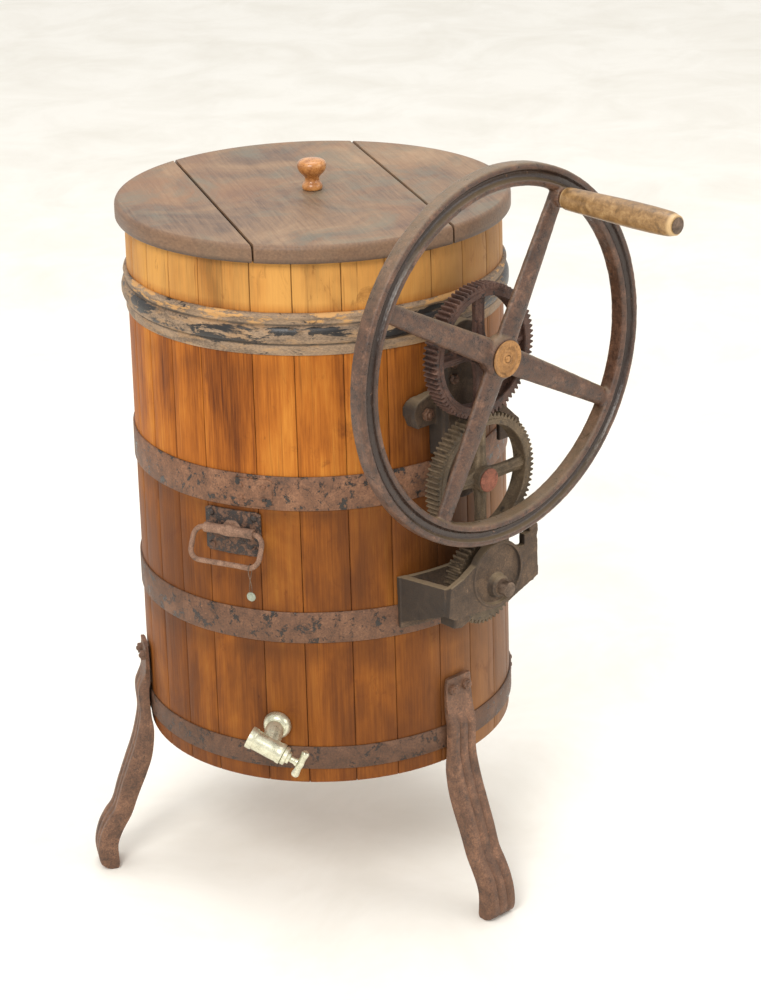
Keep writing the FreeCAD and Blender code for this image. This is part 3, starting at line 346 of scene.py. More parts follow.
class Shader:
    """A short way to write a node material."""

    def __init__(self, name):
        self.material = bpy.data.materials.new(name)
        self.material.use_nodes = True
        self.nodes = self.material.node_tree.nodes
        self.links = self.material.node_tree.links
        self.nodes.clear()
        self.skin = self.nodes.new("ShaderNodeBsdfPrincipled")
        output = self.nodes.new("ShaderNodeOutputMaterial")
        self.links.new(self.skin.outputs[0], output.inputs[0])

    def feed(self, socket, value):
        if isinstance(value, bpy.types.NodeSocket):
            self.links.new(value, socket)
        else:
            socket.default_value = value

    def where(self, stretch=(1, 1, 1), turn=0.0):
        """Object coordinates, turned about Z and then stretched."""
        place = self.nodes.new("ShaderNodeTexCoord").outputs["Object"]
        if turn:
            spin = self.nodes.new("ShaderNodeMapping")
            spin.inputs["Rotation"].default_value = (0, 0, math.radians(turn))
            self.links.new(place, spin.inputs["Vector"])
            place = spin.outputs[0]
        scale = self.nodes.new("ShaderNodeMapping")
        scale.inputs["Scale"].default_value = stretch
        self.links.new(place, scale.inputs["Vector"])
        return scale.outputs[0]

    def noise(self, place, scale, detail=5.0, rough=0.6, warp=0.0):
        node = self.nodes.new("ShaderNodeTexNoise")
        self.links.new(place, node.inputs["Vector"])
        for key, value in (("Scale", scale), ("Detail", detail), ("Roughness", rough), ("Distortion", warp)):
            node.inputs[key].default_value = value
        return node.outputs[0]

    def cells(self, place, scale):
        node = self.nodes.new("ShaderNodeTexVoronoi")
        self.links.new(place, node.inputs["Vector"])
        node.inputs["Scale"].default_value = scale
        return node.outputs["Distance"]

    def spots(self, scale, low, high, most, detail=6, rough=0.7, warp=0.0, stretch=(1, 1, 1)):
        """Patches of noise: nothing under the low level, and the most over the high one."""
        return self.level(self.noise(self.where(stretch), scale, detail, rough, warp), low, high, 0.0, most)

    def value(self, name):
        """A value that the mesh holds at each point."""
        node = self.nodes.new("ShaderNodeAttribute")
        node.attribute_name = name
        return node.outputs["Fac"]

    def level(self, value, low, high, to_low=0.0, to_high=1.0):
        node = self.nodes.new("ShaderNodeMapRange")
        for i, item in enumerate((value, low, high, to_low, to_high)):
            self.feed(node.inputs[i], item)
        return node.outputs[0]

    def sum(self, one, two, kind="ADD"):
        node = self.nodes.new("ShaderNodeMath")
        node.operation = kind
        self.feed(node.inputs[0], one)
        self.feed(node.inputs[1], two)
        return node.outputs[0]

    def times(self, one, two):
        return self.sum(one, two, "MULTIPLY")

    def ramp(self, value, *stops):
        node = self.nodes.new("ShaderNodeValToRGB")
        self.links.new(value, node.inputs[0])
        steps = node.color_ramp.elements
        while len(steps) < len(stops):
            steps.new(0.5)
        for step, (at, tone) in zip(steps, stops):
            step.position = at
            step.color = paint(*tone)
        return node.outputs[0]

    def mix(self, share, one, two):
        node = self.nodes.new("ShaderNodeMix")
        node.data_type = "RGBA"
        self.feed(node.inputs[0], share)
        for socket, tone in ((node.inputs[6], one), (node.inputs[7], two)):
            self.feed(socket, paint(*tone) if isinstance(tone, tuple) else tone)
        return node.outputs[2]

    def height_of(self):
        """The height above the floor, in metres."""
        split = self.nodes.new("ShaderNodeSeparateXYZ")
        self.links.new(self.where(), split.inputs[0])
        return split.outputs[2]

    def facing_way(self, axis, sign=1.0):
        """How squarely the surface faces along an axis, or against it for a sign of -1."""
        split = self.nodes.new("ShaderNodeSeparateXYZ")
        self.links.new(self.nodes.new("ShaderNodeNewGeometry").outputs["Normal"], split.inputs[0])
        return self.level(self.times(split.outputs[axis], sign), 0.35, 0.95)

    def finish(self, tone, rough, bump, depth, metallic=0.0, coat=0.0, specular=0.5):
        self.feed(self.skin.inputs["Base Color"], tone)
        self.feed(self.skin.inputs["Roughness"], rough)
        self.skin.inputs["Specular IOR Level"].default_value = specular
        self.feed(self.skin.inputs["Metallic"], metallic)
        self.skin.inputs["Coat Weight"].default_value = coat
        self.skin.inputs["Coat Roughness"].default_value = 0.3
        node = self.nodes.new("ShaderNodeBump")
        node.inputs["Strength"].default_value = 1.0
        node.inputs["Distance"].default_value = depth * MM
        self.links.new(bump, node.inputs["Height"])
        self.links.new(node.outputs[0], self.skin.inputs["Normal"])
        return self.material


# ---- materials

def oak_staves():
    """Stained oak: pale above the top hoop, darker below the second, dusty to the right, with painted shadow
    under the hoops and the lid.
    """
    s = Shader("oak_staves")
    grain = s.noise(s.where((1, 1, 0.03)), 420, 6, 0.65)
    streak = s.noise(s.where((1, 1, 0.07)), 60, 5, 0.6, 0.4)
    cloud = s.noise(s.where((1, 1, 0.45)), 9, 4, 0.6, 0.5)
    mixed = s.sum(s.times(streak, 0.3), s.sum(s.times(grain, 0.32), s.times(cloud, 0.5)))
    lifted = s.sum(mixed, s.times(s.value("tone"), 0.045))
    tone = s.ramp(lifted, (0.4, (88, 43, 13)), (0.49, (133, 72, 21)), (0.58, (168, 97, 31)),
                  (0.7, (194, 125, 48)))
    height = s.height_of()
    pale = s.times(s.level(height, 0.862, 0.88), s.level(cloud, 0.35, 0.6, 0.25, 0.6))
    tone = s.mix(pale, tone, (214, 166, 92))
    low = s.times(s.level(height, 0.66, 0.57), s.level(cloud, 0.35, 0.62, 0.8, 0.5))
    tone = s.mix(low, tone, (88, 50, 22))
    tone = s.mix(s.times(s.value("dusty"), s.level(cloud, 0.35, 0.65, 0.25, 0.6)), tone, (142, 110, 80))
    crack = s.spots(150, 0.62, 0.7, 0.4, 4, 0.6, stretch=(1, 1, 0.018))
    tone = s.mix(crack, tone, (66, 32, 10))
    blot = s.spots(26, 0.58, 0.72, 0.6, warp=1.0, stretch=(1, 1, 0.6))
    tone = s.mix(blot, tone, (92, 46, 18))
    marks = s.level(s.cells(s.where((1, 1, 0.4)), 60), 0.09, 0.03, 0.0, 0.7)
    rare = s.spots(14, 0.55, 0.65, 1.0, 2, 0.6)
    tone = s.mix(s.times(marks, rare), tone, (52, 26, 12))
    # painted shadow under the hoops and the lid, dirt on the hoop ledges, darker behind the gears
    tone = s.mix(s.times(s.value("shade_and_stain"), s.level(streak, 0.3, 0.7, 0.5, 1.0)), tone, (50, 29, 17))
    tone = s.mix(s.times(s.value("seam"), s.level(streak, 0.35, 0.6, 0.6, 0.25)), tone, (66, 34, 12))
    rough = s.level(cloud, 0.3, 0.75, 0.42, 0.68)
    return s.finish(tone, rough, s.sum(s.times(grain, 0.8), streak), 0.5, coat=0.04, specular=0.14)


def lid_boards():
    """Weathered boards with a worn rim, dark seams, a cooler, greyer middle and painted shade on the lower
    part of the rim.
    """
    s = Shader("lid_boards")
    along = s.where((0.05, 1, 1), -BOARD_TURN)
    grain = s.noise(along, 330, 6, 0.65)
    streak = s.noise(along, 52, 5, 0.6, 0.6)
    cloud = s.noise(s.where(), 7.5, 5, 0.62, 0.8)
    mixed = s.sum(s.times(streak, 0.16), s.sum(s.times(grain, 0.26), s.times(cloud, 0.64)))
    tone = s.ramp(mixed, (0.4, (84, 62, 46)), (0.49, (116, 90, 68)), (0.56, (134, 106, 80)),
                  (0.68, (156, 128, 100)))
    worn = s.spots(4.2, 0.5, 0.66, 0.4, 4, 0.6, 0.4)
    tone = s.mix(worn, tone, (136, 90, 56))
    dusk = s.spots(8, 0.47, 0.62, 0.55, warp=1.2)
    tone = s.mix(dusk, tone, (106, 106, 92))
    edge = s.ramp(grain, (0.3, (92, 66, 48)), (0.7, (126, 94, 68)))
    tone = s.mix(s.times(s.value("rim"), 0.75), tone, edge)
    # painted shade on the lower part of the lid's rim
    painted_shade_below = s.times(s.value("rim"), s.level(s.height_of(), 0.9345, 0.9405, 0.75, 0.0))
    tone = s.mix(s.times(painted_shade_below, s.level(cloud, 0.35, 0.6, 0.5, 1.0)), tone, (40, 30, 25))
    tone = s.mix(s.value("fleck"), tone, (225, 220, 215))
    tone = s.mix(s.value("seam"), tone, (40, 26, 20))
    rough = s.level(cloud, 0.3, 0.7, 0.42, 0.66)
    return s.finish(tone, rough, s.sum(s.times(grain, 0.9), streak), 0.7, coat=0.08)


def turned_wood(name, dark, mid, light, worn, gloss):
    """Polished turned wood, paler or darker where it is worn."""
    s = Shader(name)
    fibre = s.noise(s.where(), 90, 5, 0.6, 0.6)
    fine = s.noise(s.where(), 520, 4, 0.6)
    mixed = s.sum(s.times(fibre, 0.7), s.times(fine, 0.3))
    tone = s.ramp(mixed, (0.36, dark), (0.52, mid), (0.68, light))
    tone = s.mix(s.times(s.value("worn"), 0.8), tone, worn)
    return s.finish(tone, s.level(mixed, 0.35, 0.7, gloss, gloss + 0.25), mixed, 0.35, coat=0.3)


def raw_wood():
    """Plain sawn wood for the hidden boards."""
    s = Shader("raw_wood")
    grain = s.noise(s.where((0.07, 1, 0.6), -BOARD_TURN), 300, 6, 0.65)
    cloud = s.noise(s.where(), 18, 4, 0.6)
    mixed = s.sum(s.times(grain, 0.55), s.times(cloud, 0.45))
    tone = s.ramp(mixed, (0.38, (92, 66, 44)), (0.52, (140, 108, 74)), (0.66, (172, 140, 102)))
    return s.finish(tone, s.level(mixed, 0.3, 0.7, 0.62, 0.85), grain, 0.6)


def rusty(name, base, rust, black, black_share, gloss, grain=1.0, dust_and_top_light=0.0, edge=0.03, low=0.0,
          shaded=(), channel_shade=0.0):
    """Old painted iron: rust-brown, with dark paint left in patches, pale scuffs and pits.

    black_share is how much paint is left and edge how softly it ends; dust_and_top_light lightens upward
    faces with dust and painted light from above; low darkens it towards the floor; shaded lists axes whose
    far side is darker; channel_shade is how dark the painted shade makes the paint where the mesh marks a
    channel.
    """
    s = Shader(name)
    fine = s.noise(s.where(), 420 * grain, 6, 0.7)
    broad = s.noise(s.where(), 38 * grain, 6, 0.66, 0.6)
    patch = s.noise(s.where(), 74 * grain, 8, 0.78, 0.3)
    mixed = s.sum(s.times(fine, 0.5), s.times(broad, 0.5))
    tone = s.ramp(mixed, (0.36, shade(base, 0.6)), (0.52, base), (0.66, rust))
    cover = s.level(patch, 1.0 - black_share, 1.0 + edge - black_share)
    # painted shade in the wheel rim's channel
    if channel_shade:
        cover = s.sum(cover, s.times(s.value("channel_shade"), channel_shade), "MAXIMUM")
    tone = s.mix(cover, tone, black)
    pits = s.level(s.cells(s.where(), 260 * grain), 0.22, 0.1, 0.0, 0.6)
    tone = s.mix(pits, tone, shade(base, 0.45))
    scuff = s.spots(95 * grain, 0.62, 0.66, 0.5, 8, 0.8, 0.2)
    tone = s.mix(scuff, tone, shade(rust, 1.25))
    if low:
        tone = s.mix(s.level(s.height_of(), 0.62, 0.24, 0.0, low), tone, shade(base, 0.4))
    # dust and painted light from above on upward faces
    if dust_and_top_light:
        tone = s.mix(s.times(s.facing_way(2), dust_and_top_light), tone, (152, 134, 106))
    # painted shade on the far side along each listed axis
    for axis in shaded:
        dim = s.level(s.facing_way(axis, -1.0), 0.0, 1.0, 0.0, 0.75)
        tone = s.mix(dim, tone, shade(base, 0.4))
    matt = s.level(fine, 0.3, 0.7, gloss + 0.16, gloss + 0.4)
    rough = s.level(cover, 0.0, 1.0, matt, gloss)
    relief = s.sum(s.sum(s.times(fine, 0.5), s.times(broad, 0.8)), s.times(cover, 0.35))
    return s.finish(tone, rough, relief, 0.7)


def top_hoop():
    """The beaded hoop: worn brown paint, black on the bead, bare flecks above it, and painted shade in the
    creases at the bead's foot and top.
    """
    s = Shader("hoop_top_paint")
    fine = s.noise(s.where((1, 1, 2)), 300, 6, 0.7)
    long = s.noise(s.where((1, 1, 5)), 17, 7, 0.7, 0.3)
    patch = s.noise(s.where((1, 1, 3)), 13, 8, 0.72, 0.3)
    mixed = s.sum(s.times(fine, 0.45), s.times(long, 0.55))
    tone = s.ramp(mixed, (0.38, (84, 68, 54)), (0.5, (134, 112, 90)), (0.62, (166, 138, 108)))
    height = s.height_of()
    bead = s.times(s.level(height, 0.8515, 0.8500), s.level(height, 0.8250, 0.8275))
    dark = s.level(s.sum(patch, s.times(bead, 0.09)), 0.572, 0.6)
    tone = s.mix(dark, tone, (32, 30, 30))
    # painted shade in the creases where the bead meets the flat band
    for low, high in ((0.8250, 0.8292), (0.8506, 0.8548)):
        middle = (low + high) / 2
        crease = s.times(s.level(height, low, middle - 0.0006), s.level(height, high, middle + 0.0006))
        tone = s.mix(s.times(crease, 0.75), tone, (40, 33, 28))
    strip = s.level(height, 0.853, 0.856)
    bare = s.times(s.spots(24, 0.52, 0.56, 1.0, stretch=(1, 1, 4)), s.sum(strip, 0.3))
    tone = s.mix(s.times(bare, s.level(dark, 0.0, 1.0, 0.75, 0.1)), tone, (196, 148, 90))
    rough = s.level(dark, 0.0, 1.0, 0.62, 0.34)
    return s.finish(tone, rough, s.sum(s.times(fine, 0.5), s.times(dark, 0.5)), 0.6)


def metal(name, dark, light, gloss, scratch=1.0, metallic=1.0, dirt=0.6):
    """Bare or plated metal with grime in its hollows."""
    s = Shader(name)
    fine = s.noise(s.where(), 600, 5, 0.7)
    broad = s.noise(s.where(), 60, 5, 0.65, 0.5)
    mixed = s.sum(s.times(fine, 0.4), s.times(broad, 0.6))
    tone = s.ramp(mixed, (0.4, dark), (0.58, light))
    grime = s.spots(130, 0.58, 0.66, dirt)
    tone = s.mix(grime, tone, shade(dark, 0.45))
    rough = s.level(mixed, 0.35, 0.65, gloss, gloss + 0.22)
    return s.finish(tone, rough, mixed, 0.25 * scratch, metallic=metallic)


def floor_paint():
    """A plain pale floor."""
    s = Shader("floor_paint")
    cloud = s.noise(s.where(), 3.2, 6, 0.65, 0.5)
    tone = s.ramp(cloud, (0.3, (242, 239, 230)), (0.6, (252, 250, 243)))
    return s.finish(tone, s.level(cloud, 0.3, 0.7, 0.75, 0.9), cloud, 0.3, specular=0.2)


# ---- the tub

def stave_loop(azimuth, edge):
    """One closed section of a stave at an azimuth; edge is how far its outer corner is broken."""
    parts = 30
    heights = [TUB_LOW_Z + (TUB_TOP_Z - TUB_LOW_Z) * k / parts for k in range(parts + 1)]
    outer = []
    for z in heights:
        ends = 1.2 if z in (heights[0], heights[-1]) else 0.0
        wave = 0.12 * noise.noise(Vector((azimuth * 0.4, z * 0.02, 3.0)))
        outer.append((tub_radius(z) - edge - ends - 0.12 + wave, z))
    wall_low = TUB_LOW_R - STAVE_T + edge * 0.4
    wall_top = TUB_TOP_R - STAVE_T + edge * 0.4
    groove = wall_low + 6
    inner = [(wall_top, TUB_TOP_Z), (wall_top - 1, TUB_TOP_Z - 1.2), (wall_low, CROZE_HIGH),
             (groove, CROZE_HIGH), (groove, CROZE_LOW), (wall_low, CROZE_LOW), (wall_low, TUB_LOW_Z)]
    return outer + inner


def stave_mesh(start, stop):
    """One stave between two azimuths, with broken corners and its own tone."""
    shape = Shape()
    gap = math.degrees(0.25 / TUB_TOP_R)
    shift = [(gap, 0.9), (gap + 0.09, 0.35), (gap + 0.3, 0.0)]
    places = [(start + a, e) for a, e in shift]
    places += [(start + (stop - start) * k / 4, 0.0) for k in (1, 2, 3)]
    places += [(stop - a, e) for a, e in reversed(shift)]
    tone = RANDOM.uniform(-1, 1)
    rows = []
    for azimuth, edge in places:
        rows.append([around(math.radians(azimuth), r, z) for r, z in stave_loop(azimuth, edge)])
    marks = shape.loft(rows, UPRIGHT, tone=tone)
    for (azimuth, edge), row in zip(places, marks):
        for index, (_, z) in zip(row, stave_loop(azimuth, edge)):
            shape.mark("seam", index, min(1.0, edge / 0.6))
            shape.mark("shade_and_stain", index, shade_and_stain_at(azimuth, z))
            shape.mark("dusty", index, dust_at(azimuth))
    return shape


def dust_at(azimuth):
    """The paler, dusty staves to the right of the gears."""
    return max(0.0, min(1.0, (azimuth + 105.0) / 30.0, (-10.0 - azimuth) / 30.0))


def shade_and_stain_at(azimuth, z):
    """Painted shadow under the bead hoop, the other hoops and the lid, dirt on the ledges above the hoops,
    and a darker patch behind the gears.
    """
    shade_and_stain = 0.0
    painted_shade_below = [hoop[1] for hoop in HOOPS]
    above = [hoop[2] for hoop in HOOPS]
    below_lid = 933.0
    # painted shadow that fades downwards under the bead hoop, the lid and the other hoops
    for at, reach in zip([BEAD_HOOP[0], below_lid] + painted_shade_below, (30.0, 10.0, 22.0, 22.0, 16.0)):
        reach *= 1.0 + 0.9 * noise.noise(Vector((azimuth * 0.12, at, 0)))
        if 0 <= at - z < reach:
            shade_and_stain = max(shade_and_stain, 0.8 * (1 - (at - z) / reach))
    # dirt on the ledges above the hoops
    ledge = 14.0
    for at in [BEAD_HOOP[1]] + above:
        if 0 <= z - at < ledge:
            shade_and_stain = max(shade_and_stain, 0.6 * (1 - (z - at) / ledge))
    # a darker patch behind the gears
    near = max(0.0, 1.0 - abs(azimuth + 90.0) / 42.0) * max(0.0, 1.0 - abs(z - 640.0) / 300.0)
    patch = 0.75 + 0.6 * noise.noise(Vector((azimuth * 0.09, z * 0.012, 3.0)))
    return max(shade_and_stain, min(0.7, 1.5 * near * patch))


def build_staves(material):
    """All the staves, gathered into one piece."""
    whole = Shape()
    for start, stop in zip(STAVE_SEAMS, STAVE_SEAMS[1:] + (STAVE_SEAMS[0] + 360.0,)):
        part = stave_mesh(start, stop)
        base = len(whole.verts)
        whole.verts += part.verts
        whole.faces += [tuple(base + i for i in face) for face in part.faces]
        for key, table in part.values.items():
            whole.values.setdefault(key, {}).update({base + i: v for i, v in table.items()})
    whole.object("staves_wood", material, "tub", ("staves",), 30.0)


def rounded_band(low, high, thick, wobble, seed):
    """Rows for a hoop: a flat strip with rolled edges that follows the tub's slope."""
    steps = 180
    rows = []
    for k in range(steps):
        turn = 2 * math.pi * k / steps
        lift = wobble * noise.noise(Vector(around(turn, 2.2, seed)))
        bulge = 0.25 * noise.noise(Vector(around(turn, 5, seed + 4)))
        section = [(0.0, low), (thick - 0.8, low), (thick, low + 1.0), (thick + bulge, (low + high) / 2),
                   (thick, high - 1.0), (thick - 0.8, high), (0.0, high)]
        rows.append([around(turn, tub_radius(z) + out, z + lift) for out, z in section])
    return rows


def dome(shape, place, radius, rise, steps=18):
    """A low domed head that stands on local z = 0."""
    profile = [(radius * 0.96, -0.4), (radius, rise * 0.12), (radius * 0.9, rise * 0.5),
               (radius * 0.62, rise * 0.84), (radius * 0.28, rise * 0.98), (0.01, rise)]
    shape.turned([(0.01, -0.4)] + profile, place, steps)


def lapped_end(low, high, lap):
    """Rows for the second thickness where a hoop's ends lap, thinning out at both sides."""
    rows = []
    steps = 12
    spread = 6.0
    for k in range(steps + 1):
        turn = math.radians(lap - spread + spread * 2 * k / steps)
        last = k in (0, steps)
        thin = 0.25 if last else 1.0
        pull = 2.5 if last else 0.0
        half = [(1.5, 4 + pull), (HOOP_T + 2.2 * thin, 4.6 + pull), (HOOP_T + 2.4 * thin, 6 + pull)]
        section = [(out, low + up) for out, up in half] + [(out, high - up) for out, up in reversed(half)]
        rows.append([on_tub(turn, out, z) for out, z in section])
    return rows


def build_hoops(material, top_material):
    for number, (name, low, high, lap) in enumerate(HOOPS):
        shape = Shape()
        shape.loft(rounded_band(low, high, HOOP_T, 1.1, number * 3.7), UPRIGHT, ring=True)
        shape.loft(lapped_end(low, high, lap), UPRIGHT)
        shape.object(name + "_band", material, "tub", (name,), 40.0)
    rivets = Shape()
    for _, low, high, lap in HOOPS:
        for side in (-3.5, 3.5):
            for share in (0.32, 0.68):
                z = low + share * (high - low)
                dome(rivets, facing(lap + side, tub_radius(z) + 2 * HOOP_T, z), 3.6, 2.0)
    rivets.object("hoop_rivet_heads", material, "tub", ("hoop_rivets",), 60.0)
    build_bead_hoop(top_material)


def bead_section():
    """The top hoop's section of (out, height): a flat, a half-round bead, and a small upper roll."""
    low, high = BEAD_HOOP
    half_round = [math.pi * k / 10 for k in range(11)]
    bead = [(HOOP_T + 5.6 * math.sin(a), 828.0 + 23.0 * (0.5 - 0.5 * math.cos(a))) for a in half_round]
    roll = [(HOOP_T + 2.2 * math.sin(math.pi * k / 6), 859.0 + 8.5 * k / 6) for k in range(7)]
    foot = [(0.0, low), (1.8, low), (2.5, low + 1.2), (HOOP_T, 826.0)]
    return foot + bead + [(HOOP_T, 854.0)] + roll + [(1.6, high), (0.0, high)]


def build_bead_hoop(material):
    section = bead_section()
    wall = tub_radius(sum(BEAD_HOOP) / 2)
    furthest = 7.7
    rows = []
    for turn in angles(200):
        at = Vector(around(turn, 1.0, 0))
        dent = 0.35 * noise.noise(at * 9) + 0.3 * noise.noise(at * 27)
        chip = min(0.9 * noise.noise(at * 14 + Vector((0, 0, 8))), 0.0)
        row = []
        for out, z in section:
            base = tub_radius(z) if out < 1.0 else wall + (dent if out > 2.3 else 0.0)
            up = z + chip if z > BEAD_HOOP[1] - 2.0 else z
            row.append(around(turn, base + min(out, furthest), up))
        rows.append(row)
    shape = Shape()
    shape.loft(rows, UPRIGHT, ring=True)
    shape.object("hoop_1_bead", material, "tub", ("hoop_1",), 40.0)


# ---- the lid

def board_outline(low, high, round_in, seam_in):
    """A strip of the lid's disc between two distances across its boards."""
    radius = LID_R - round_in
    low = max(low + seam_in, -radius) if low > -LID_R else -radius
    high = min(high - seam_in, radius) if high < LID_R else radius
    along_rim, along_seam = 40, 12
    made = []
    for side, start, stop in ((1, low, high), (-1, high, low)):
        for k in range(along_rim + 1):
            y = start + (stop - start) * 0.5 * (1 - math.cos(math.pi * k / along_rim))
            made.append((side * math.sqrt(max(radius * radius - y * y, 0.0)), y))
        if abs(stop) < radius:
            end = made[-1][0]
            made += [(end * (1 - 2 * k / along_seam), stop) for k in range(1, along_seam)]
    return made


def build_board(name, low, high, material):
    shape = Shape()
    place = UPRIGHT @ Matrix.Rotation(math.radians(BOARD_TURN), 4, "Z")
    # Each step up the edge: how far the rim and the seam draw in, and the height.
    steps = [(4.2, 0.8, 0.0), (1.6, 0.2, 1.0), (0.25, 0.0, 3.4), (0.25, 0.0, 10.0), (0.3, 0.0, 17.0),
             (0.7, 0.2, 19.6), (2.1, 0.5, 21.9), (4.4, 0.9, 23.4), (7.0, 1.8, 24.0), (14.0, 5.0, 24.0)]
    rows = []
    for round_in, seam_in, up in steps:
        outline = board_outline(low, high, round_in, seam_in)
        rows.append([(x, y, LID_LOW + up) for x, y in outline])
    marks = shape.loft(rows, place)
    for (round_in, seam_in, _), row in zip(steps, marks):
        for index in row:
            co = shape.verts[index] - Vector((0, AXIS_Y, 0))
            radius = math.hypot(co.x, co.y)
            on_rim = radius > LID_R - round_in - 2.0
            shape.mark("rim", index, 1.0 if on_rim and round_in < 5 else 0.0)
            shape.mark("seam", index, 1.0 if not on_rim and seam_in < 0.4 else 0.0)
    shape.object(name + "_wood", material, "lid", (name,), 35.0)


def build_lid(material, knob_material):
    half = SEAM_GAP / 2
    past_rim = LID_R + 1.0
    build_board("lid_board_left", SEAMS[1] + half, past_rim, material)
    build_board("lid_board_centre", SEAMS[0] + half, SEAMS[1] - half, material)
    build_board("lid_board_right", -past_rim, SEAMS[0] - half, material)
    knob = Shape()
    profile = smooth_line([(11.6, 0.3), (13.0, 1.6), (13.5, 4.6), (12.6, 8.0), (10.2, 11.0), (9.4, 14.0),
                           (10.0, 17.2), (12.6, 20.4), (16.0, 23.8), (18.3, 28.0), (18.9, 32.4), (18.2, 36.2),
                           (15.6, 38.9), (10.6, 40.6), (4.6, 41.4), (0.02, 41.6)], 4)
    place = UPRIGHT @ Matrix.Translation((0, 0, LID_TOP))
    knob.turned([(0.02, 0.3)] + [tuple(point) for point in profile], place, 64)
    knob.object("lid_knob_turned", knob_material, "lid", ("lid_knob",), 50.0)


# ---- gears

def tooth_ring(shape, teeth, tooth_at, inner_r, place):
    """The toothed rim, from local z = 0 to the face width, with its tooth ends broken."""
    pitch_r = teeth * GEAR_MODULE / 2
    tip_r = pitch_r + 0.92 * GEAR_MODULE
    root_r = pitch_r - 1.22 * GEAR_MODULE
    half_pitch = math.pi * GEAR_MODULE / 4 - 0.14
    lean = math.tan(math.radians(20.0))
    flanks = [(root_r, -(half_pitch + (pitch_r - root_r) * lean) / root_r), (pitch_r, -half_pitch / pitch_r),
              (tip_r - 0.3, -(half_pitch - (tip_r - pitch_r) * lean) / tip_r - 0.001),
              (tip_r, -(half_pitch - (tip_r - pitch_r) * lean) / tip_r + 0.004)]
    flanks += [(r, -off) for r, off in reversed(flanks)]
    rows = []
    for drop, z in ((0.45, 0.0), (0.0, 0.6), (0.0, GEAR_FACE - 0.6), (0.45, GEAR_FACE)):
        row = []
        for i in range(teeth):
            middle = math.radians(tooth_at) + 2 * math.pi * i / teeth
            worn = 0.12 * noise.noise(Vector((i * 0.7, teeth, 0)))
            for radius, off in flanks:
                cut = drop + (abs(worn) if radius > pitch_r else 0.0)
                row.append(around(middle + off, radius - cut, z))
        rows.append(row)
    turns = [math.atan2(p[1], p[0]) for p in rows[0]]
    for z in (GEAR_FACE, 0.0):
        rows.append([around(a, inner_r, z) for a in turns])
    shape.loft(rows, place, ring=True)


def cross_arm(shape, place, inner, outer, wide, thick, rib, deep):
    """A spoke with a raised rib on both faces, flaring where it meets the hub and the rim."""
    rows = []
    middle = GEAR_FACE / 2
    steps = 12
    for k in range(steps + 1):
        t = k / steps
        x = inner + (outer - inner) * t
        flare = 1 + 0.55 * math.exp(-t * 9) + 0.4 * math.exp(-(1 - t) * 9)
        w = wide * flare / 2
        r = rib * flare / 2
        section = [(w, -thick * 0.35), (w, thick * 0.35), (w - 1.2, thick / 2), (r + 1.4, thick / 2 + 0.6),
                   (r, deep / 2 - 1), (r - 1, deep / 2)]
        half = section + [(-a, b) for a, b in reversed(section)]
        loop = half + [(-a, -b) for a, b in half]
        rows.append([(x, a, middle + b) for a, b in loop])
    shape.loft(rows, place)


def gear_hub(shape, place, radius, low, high, bore):
    profile = [(bore, low), (radius - 1.2, low), (radius, low + 1.4), (radius + 0.8, GEAR_FACE * 0.3),
               (radius + 0.8, GEAR_FACE * 0.7), (radius, high - 1.8), (radius - 1.6, high), (bore, high)]
    shape.turned(profile, place, 40, ring=True)


def build_big_gear(node, name, z, tooth_at, body, hub_front, bore, material):
    shape = Shape()
    place = front(z, GEAR_BACK)
    inner_r = 74.5
    tooth_ring(shape, BIG_TEETH, tooth_at, inner_r, place)
    middle = GEAR_FACE / 2
    flange = [(4.6, -0.9), (5.2, 1.0), (4, middle), (5.2, GEAR_FACE - 1.0), (4.6, GEAR_FACE + 0.9),
              (-1.6, GEAR_FACE + 0.9), (-2.6, GEAR_FACE - 0.6), (-1.2, middle + 6), (-0.8, middle),
              (-1.2, middle - 6), (-2.6, 0.6), (-1.6, -0.9)]
    shape.turned([(inner_r + out, z) for out, z in flange], place, 96, ring=True)
    for turn in (0, 90, 180, 270):
        spun = place @ Matrix.Rotation(math.radians(turn), 4, "Z")
        cross_arm(shape, spun, 12, inner_r + 1, 16, 8, 5, 15)
    gear_hub(shape, place, 16.6, -9.6, hub_front - GEAR_BACK - 0.2, bore)
    shape.object(name, material, body, (node,), 28.0)


def build_small_gear(material):
    shape = Shape()
    place = front(SHAFT_Z, GEAR_BACK)
    bore = 10.2
    tooth_ring(shape, SMALL_TEETH, 90.0, bore, place)
    gear_hub(shape, place, 20.6, -13.6, 29.2, bore)
    shape.object("bottom_gear_cast", material, "agitator", ("bottom_gear",), 28.0)


# ---- the handwheel and its grip

def build_handwheel(material):
    """The cast wheel; the channel in its rim is marked for painted shade that darkens its paint there."""
    wheel = cast(copied("handwheel"), "handwheel_cast", material, "wheel", ("handwheel",),
                 1.6, 3, 0.3)
    low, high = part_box("handwheel")
    outer = (high.z - low.z) / 2
    centre = (high.z + low.z) / 2
    outer_lip, inner_lip, soft = 5.5, 23.5, 3.0
    depth = []
    # how far into the rim's channel each point lies, for the painted shade there
    for vert in wheel.data.vertices:
        inward = (outer - math.hypot(vert.co.x, vert.co.z - centre)) / MM
        depth.append(max(0.0, min(1.0, (inward - outer_lip) / soft, (inner_lip - inward) / soft)))
    wheel.data.attributes.new("channel_shade", "FLOAT", "POINT").data.foreach_set("value", depth)


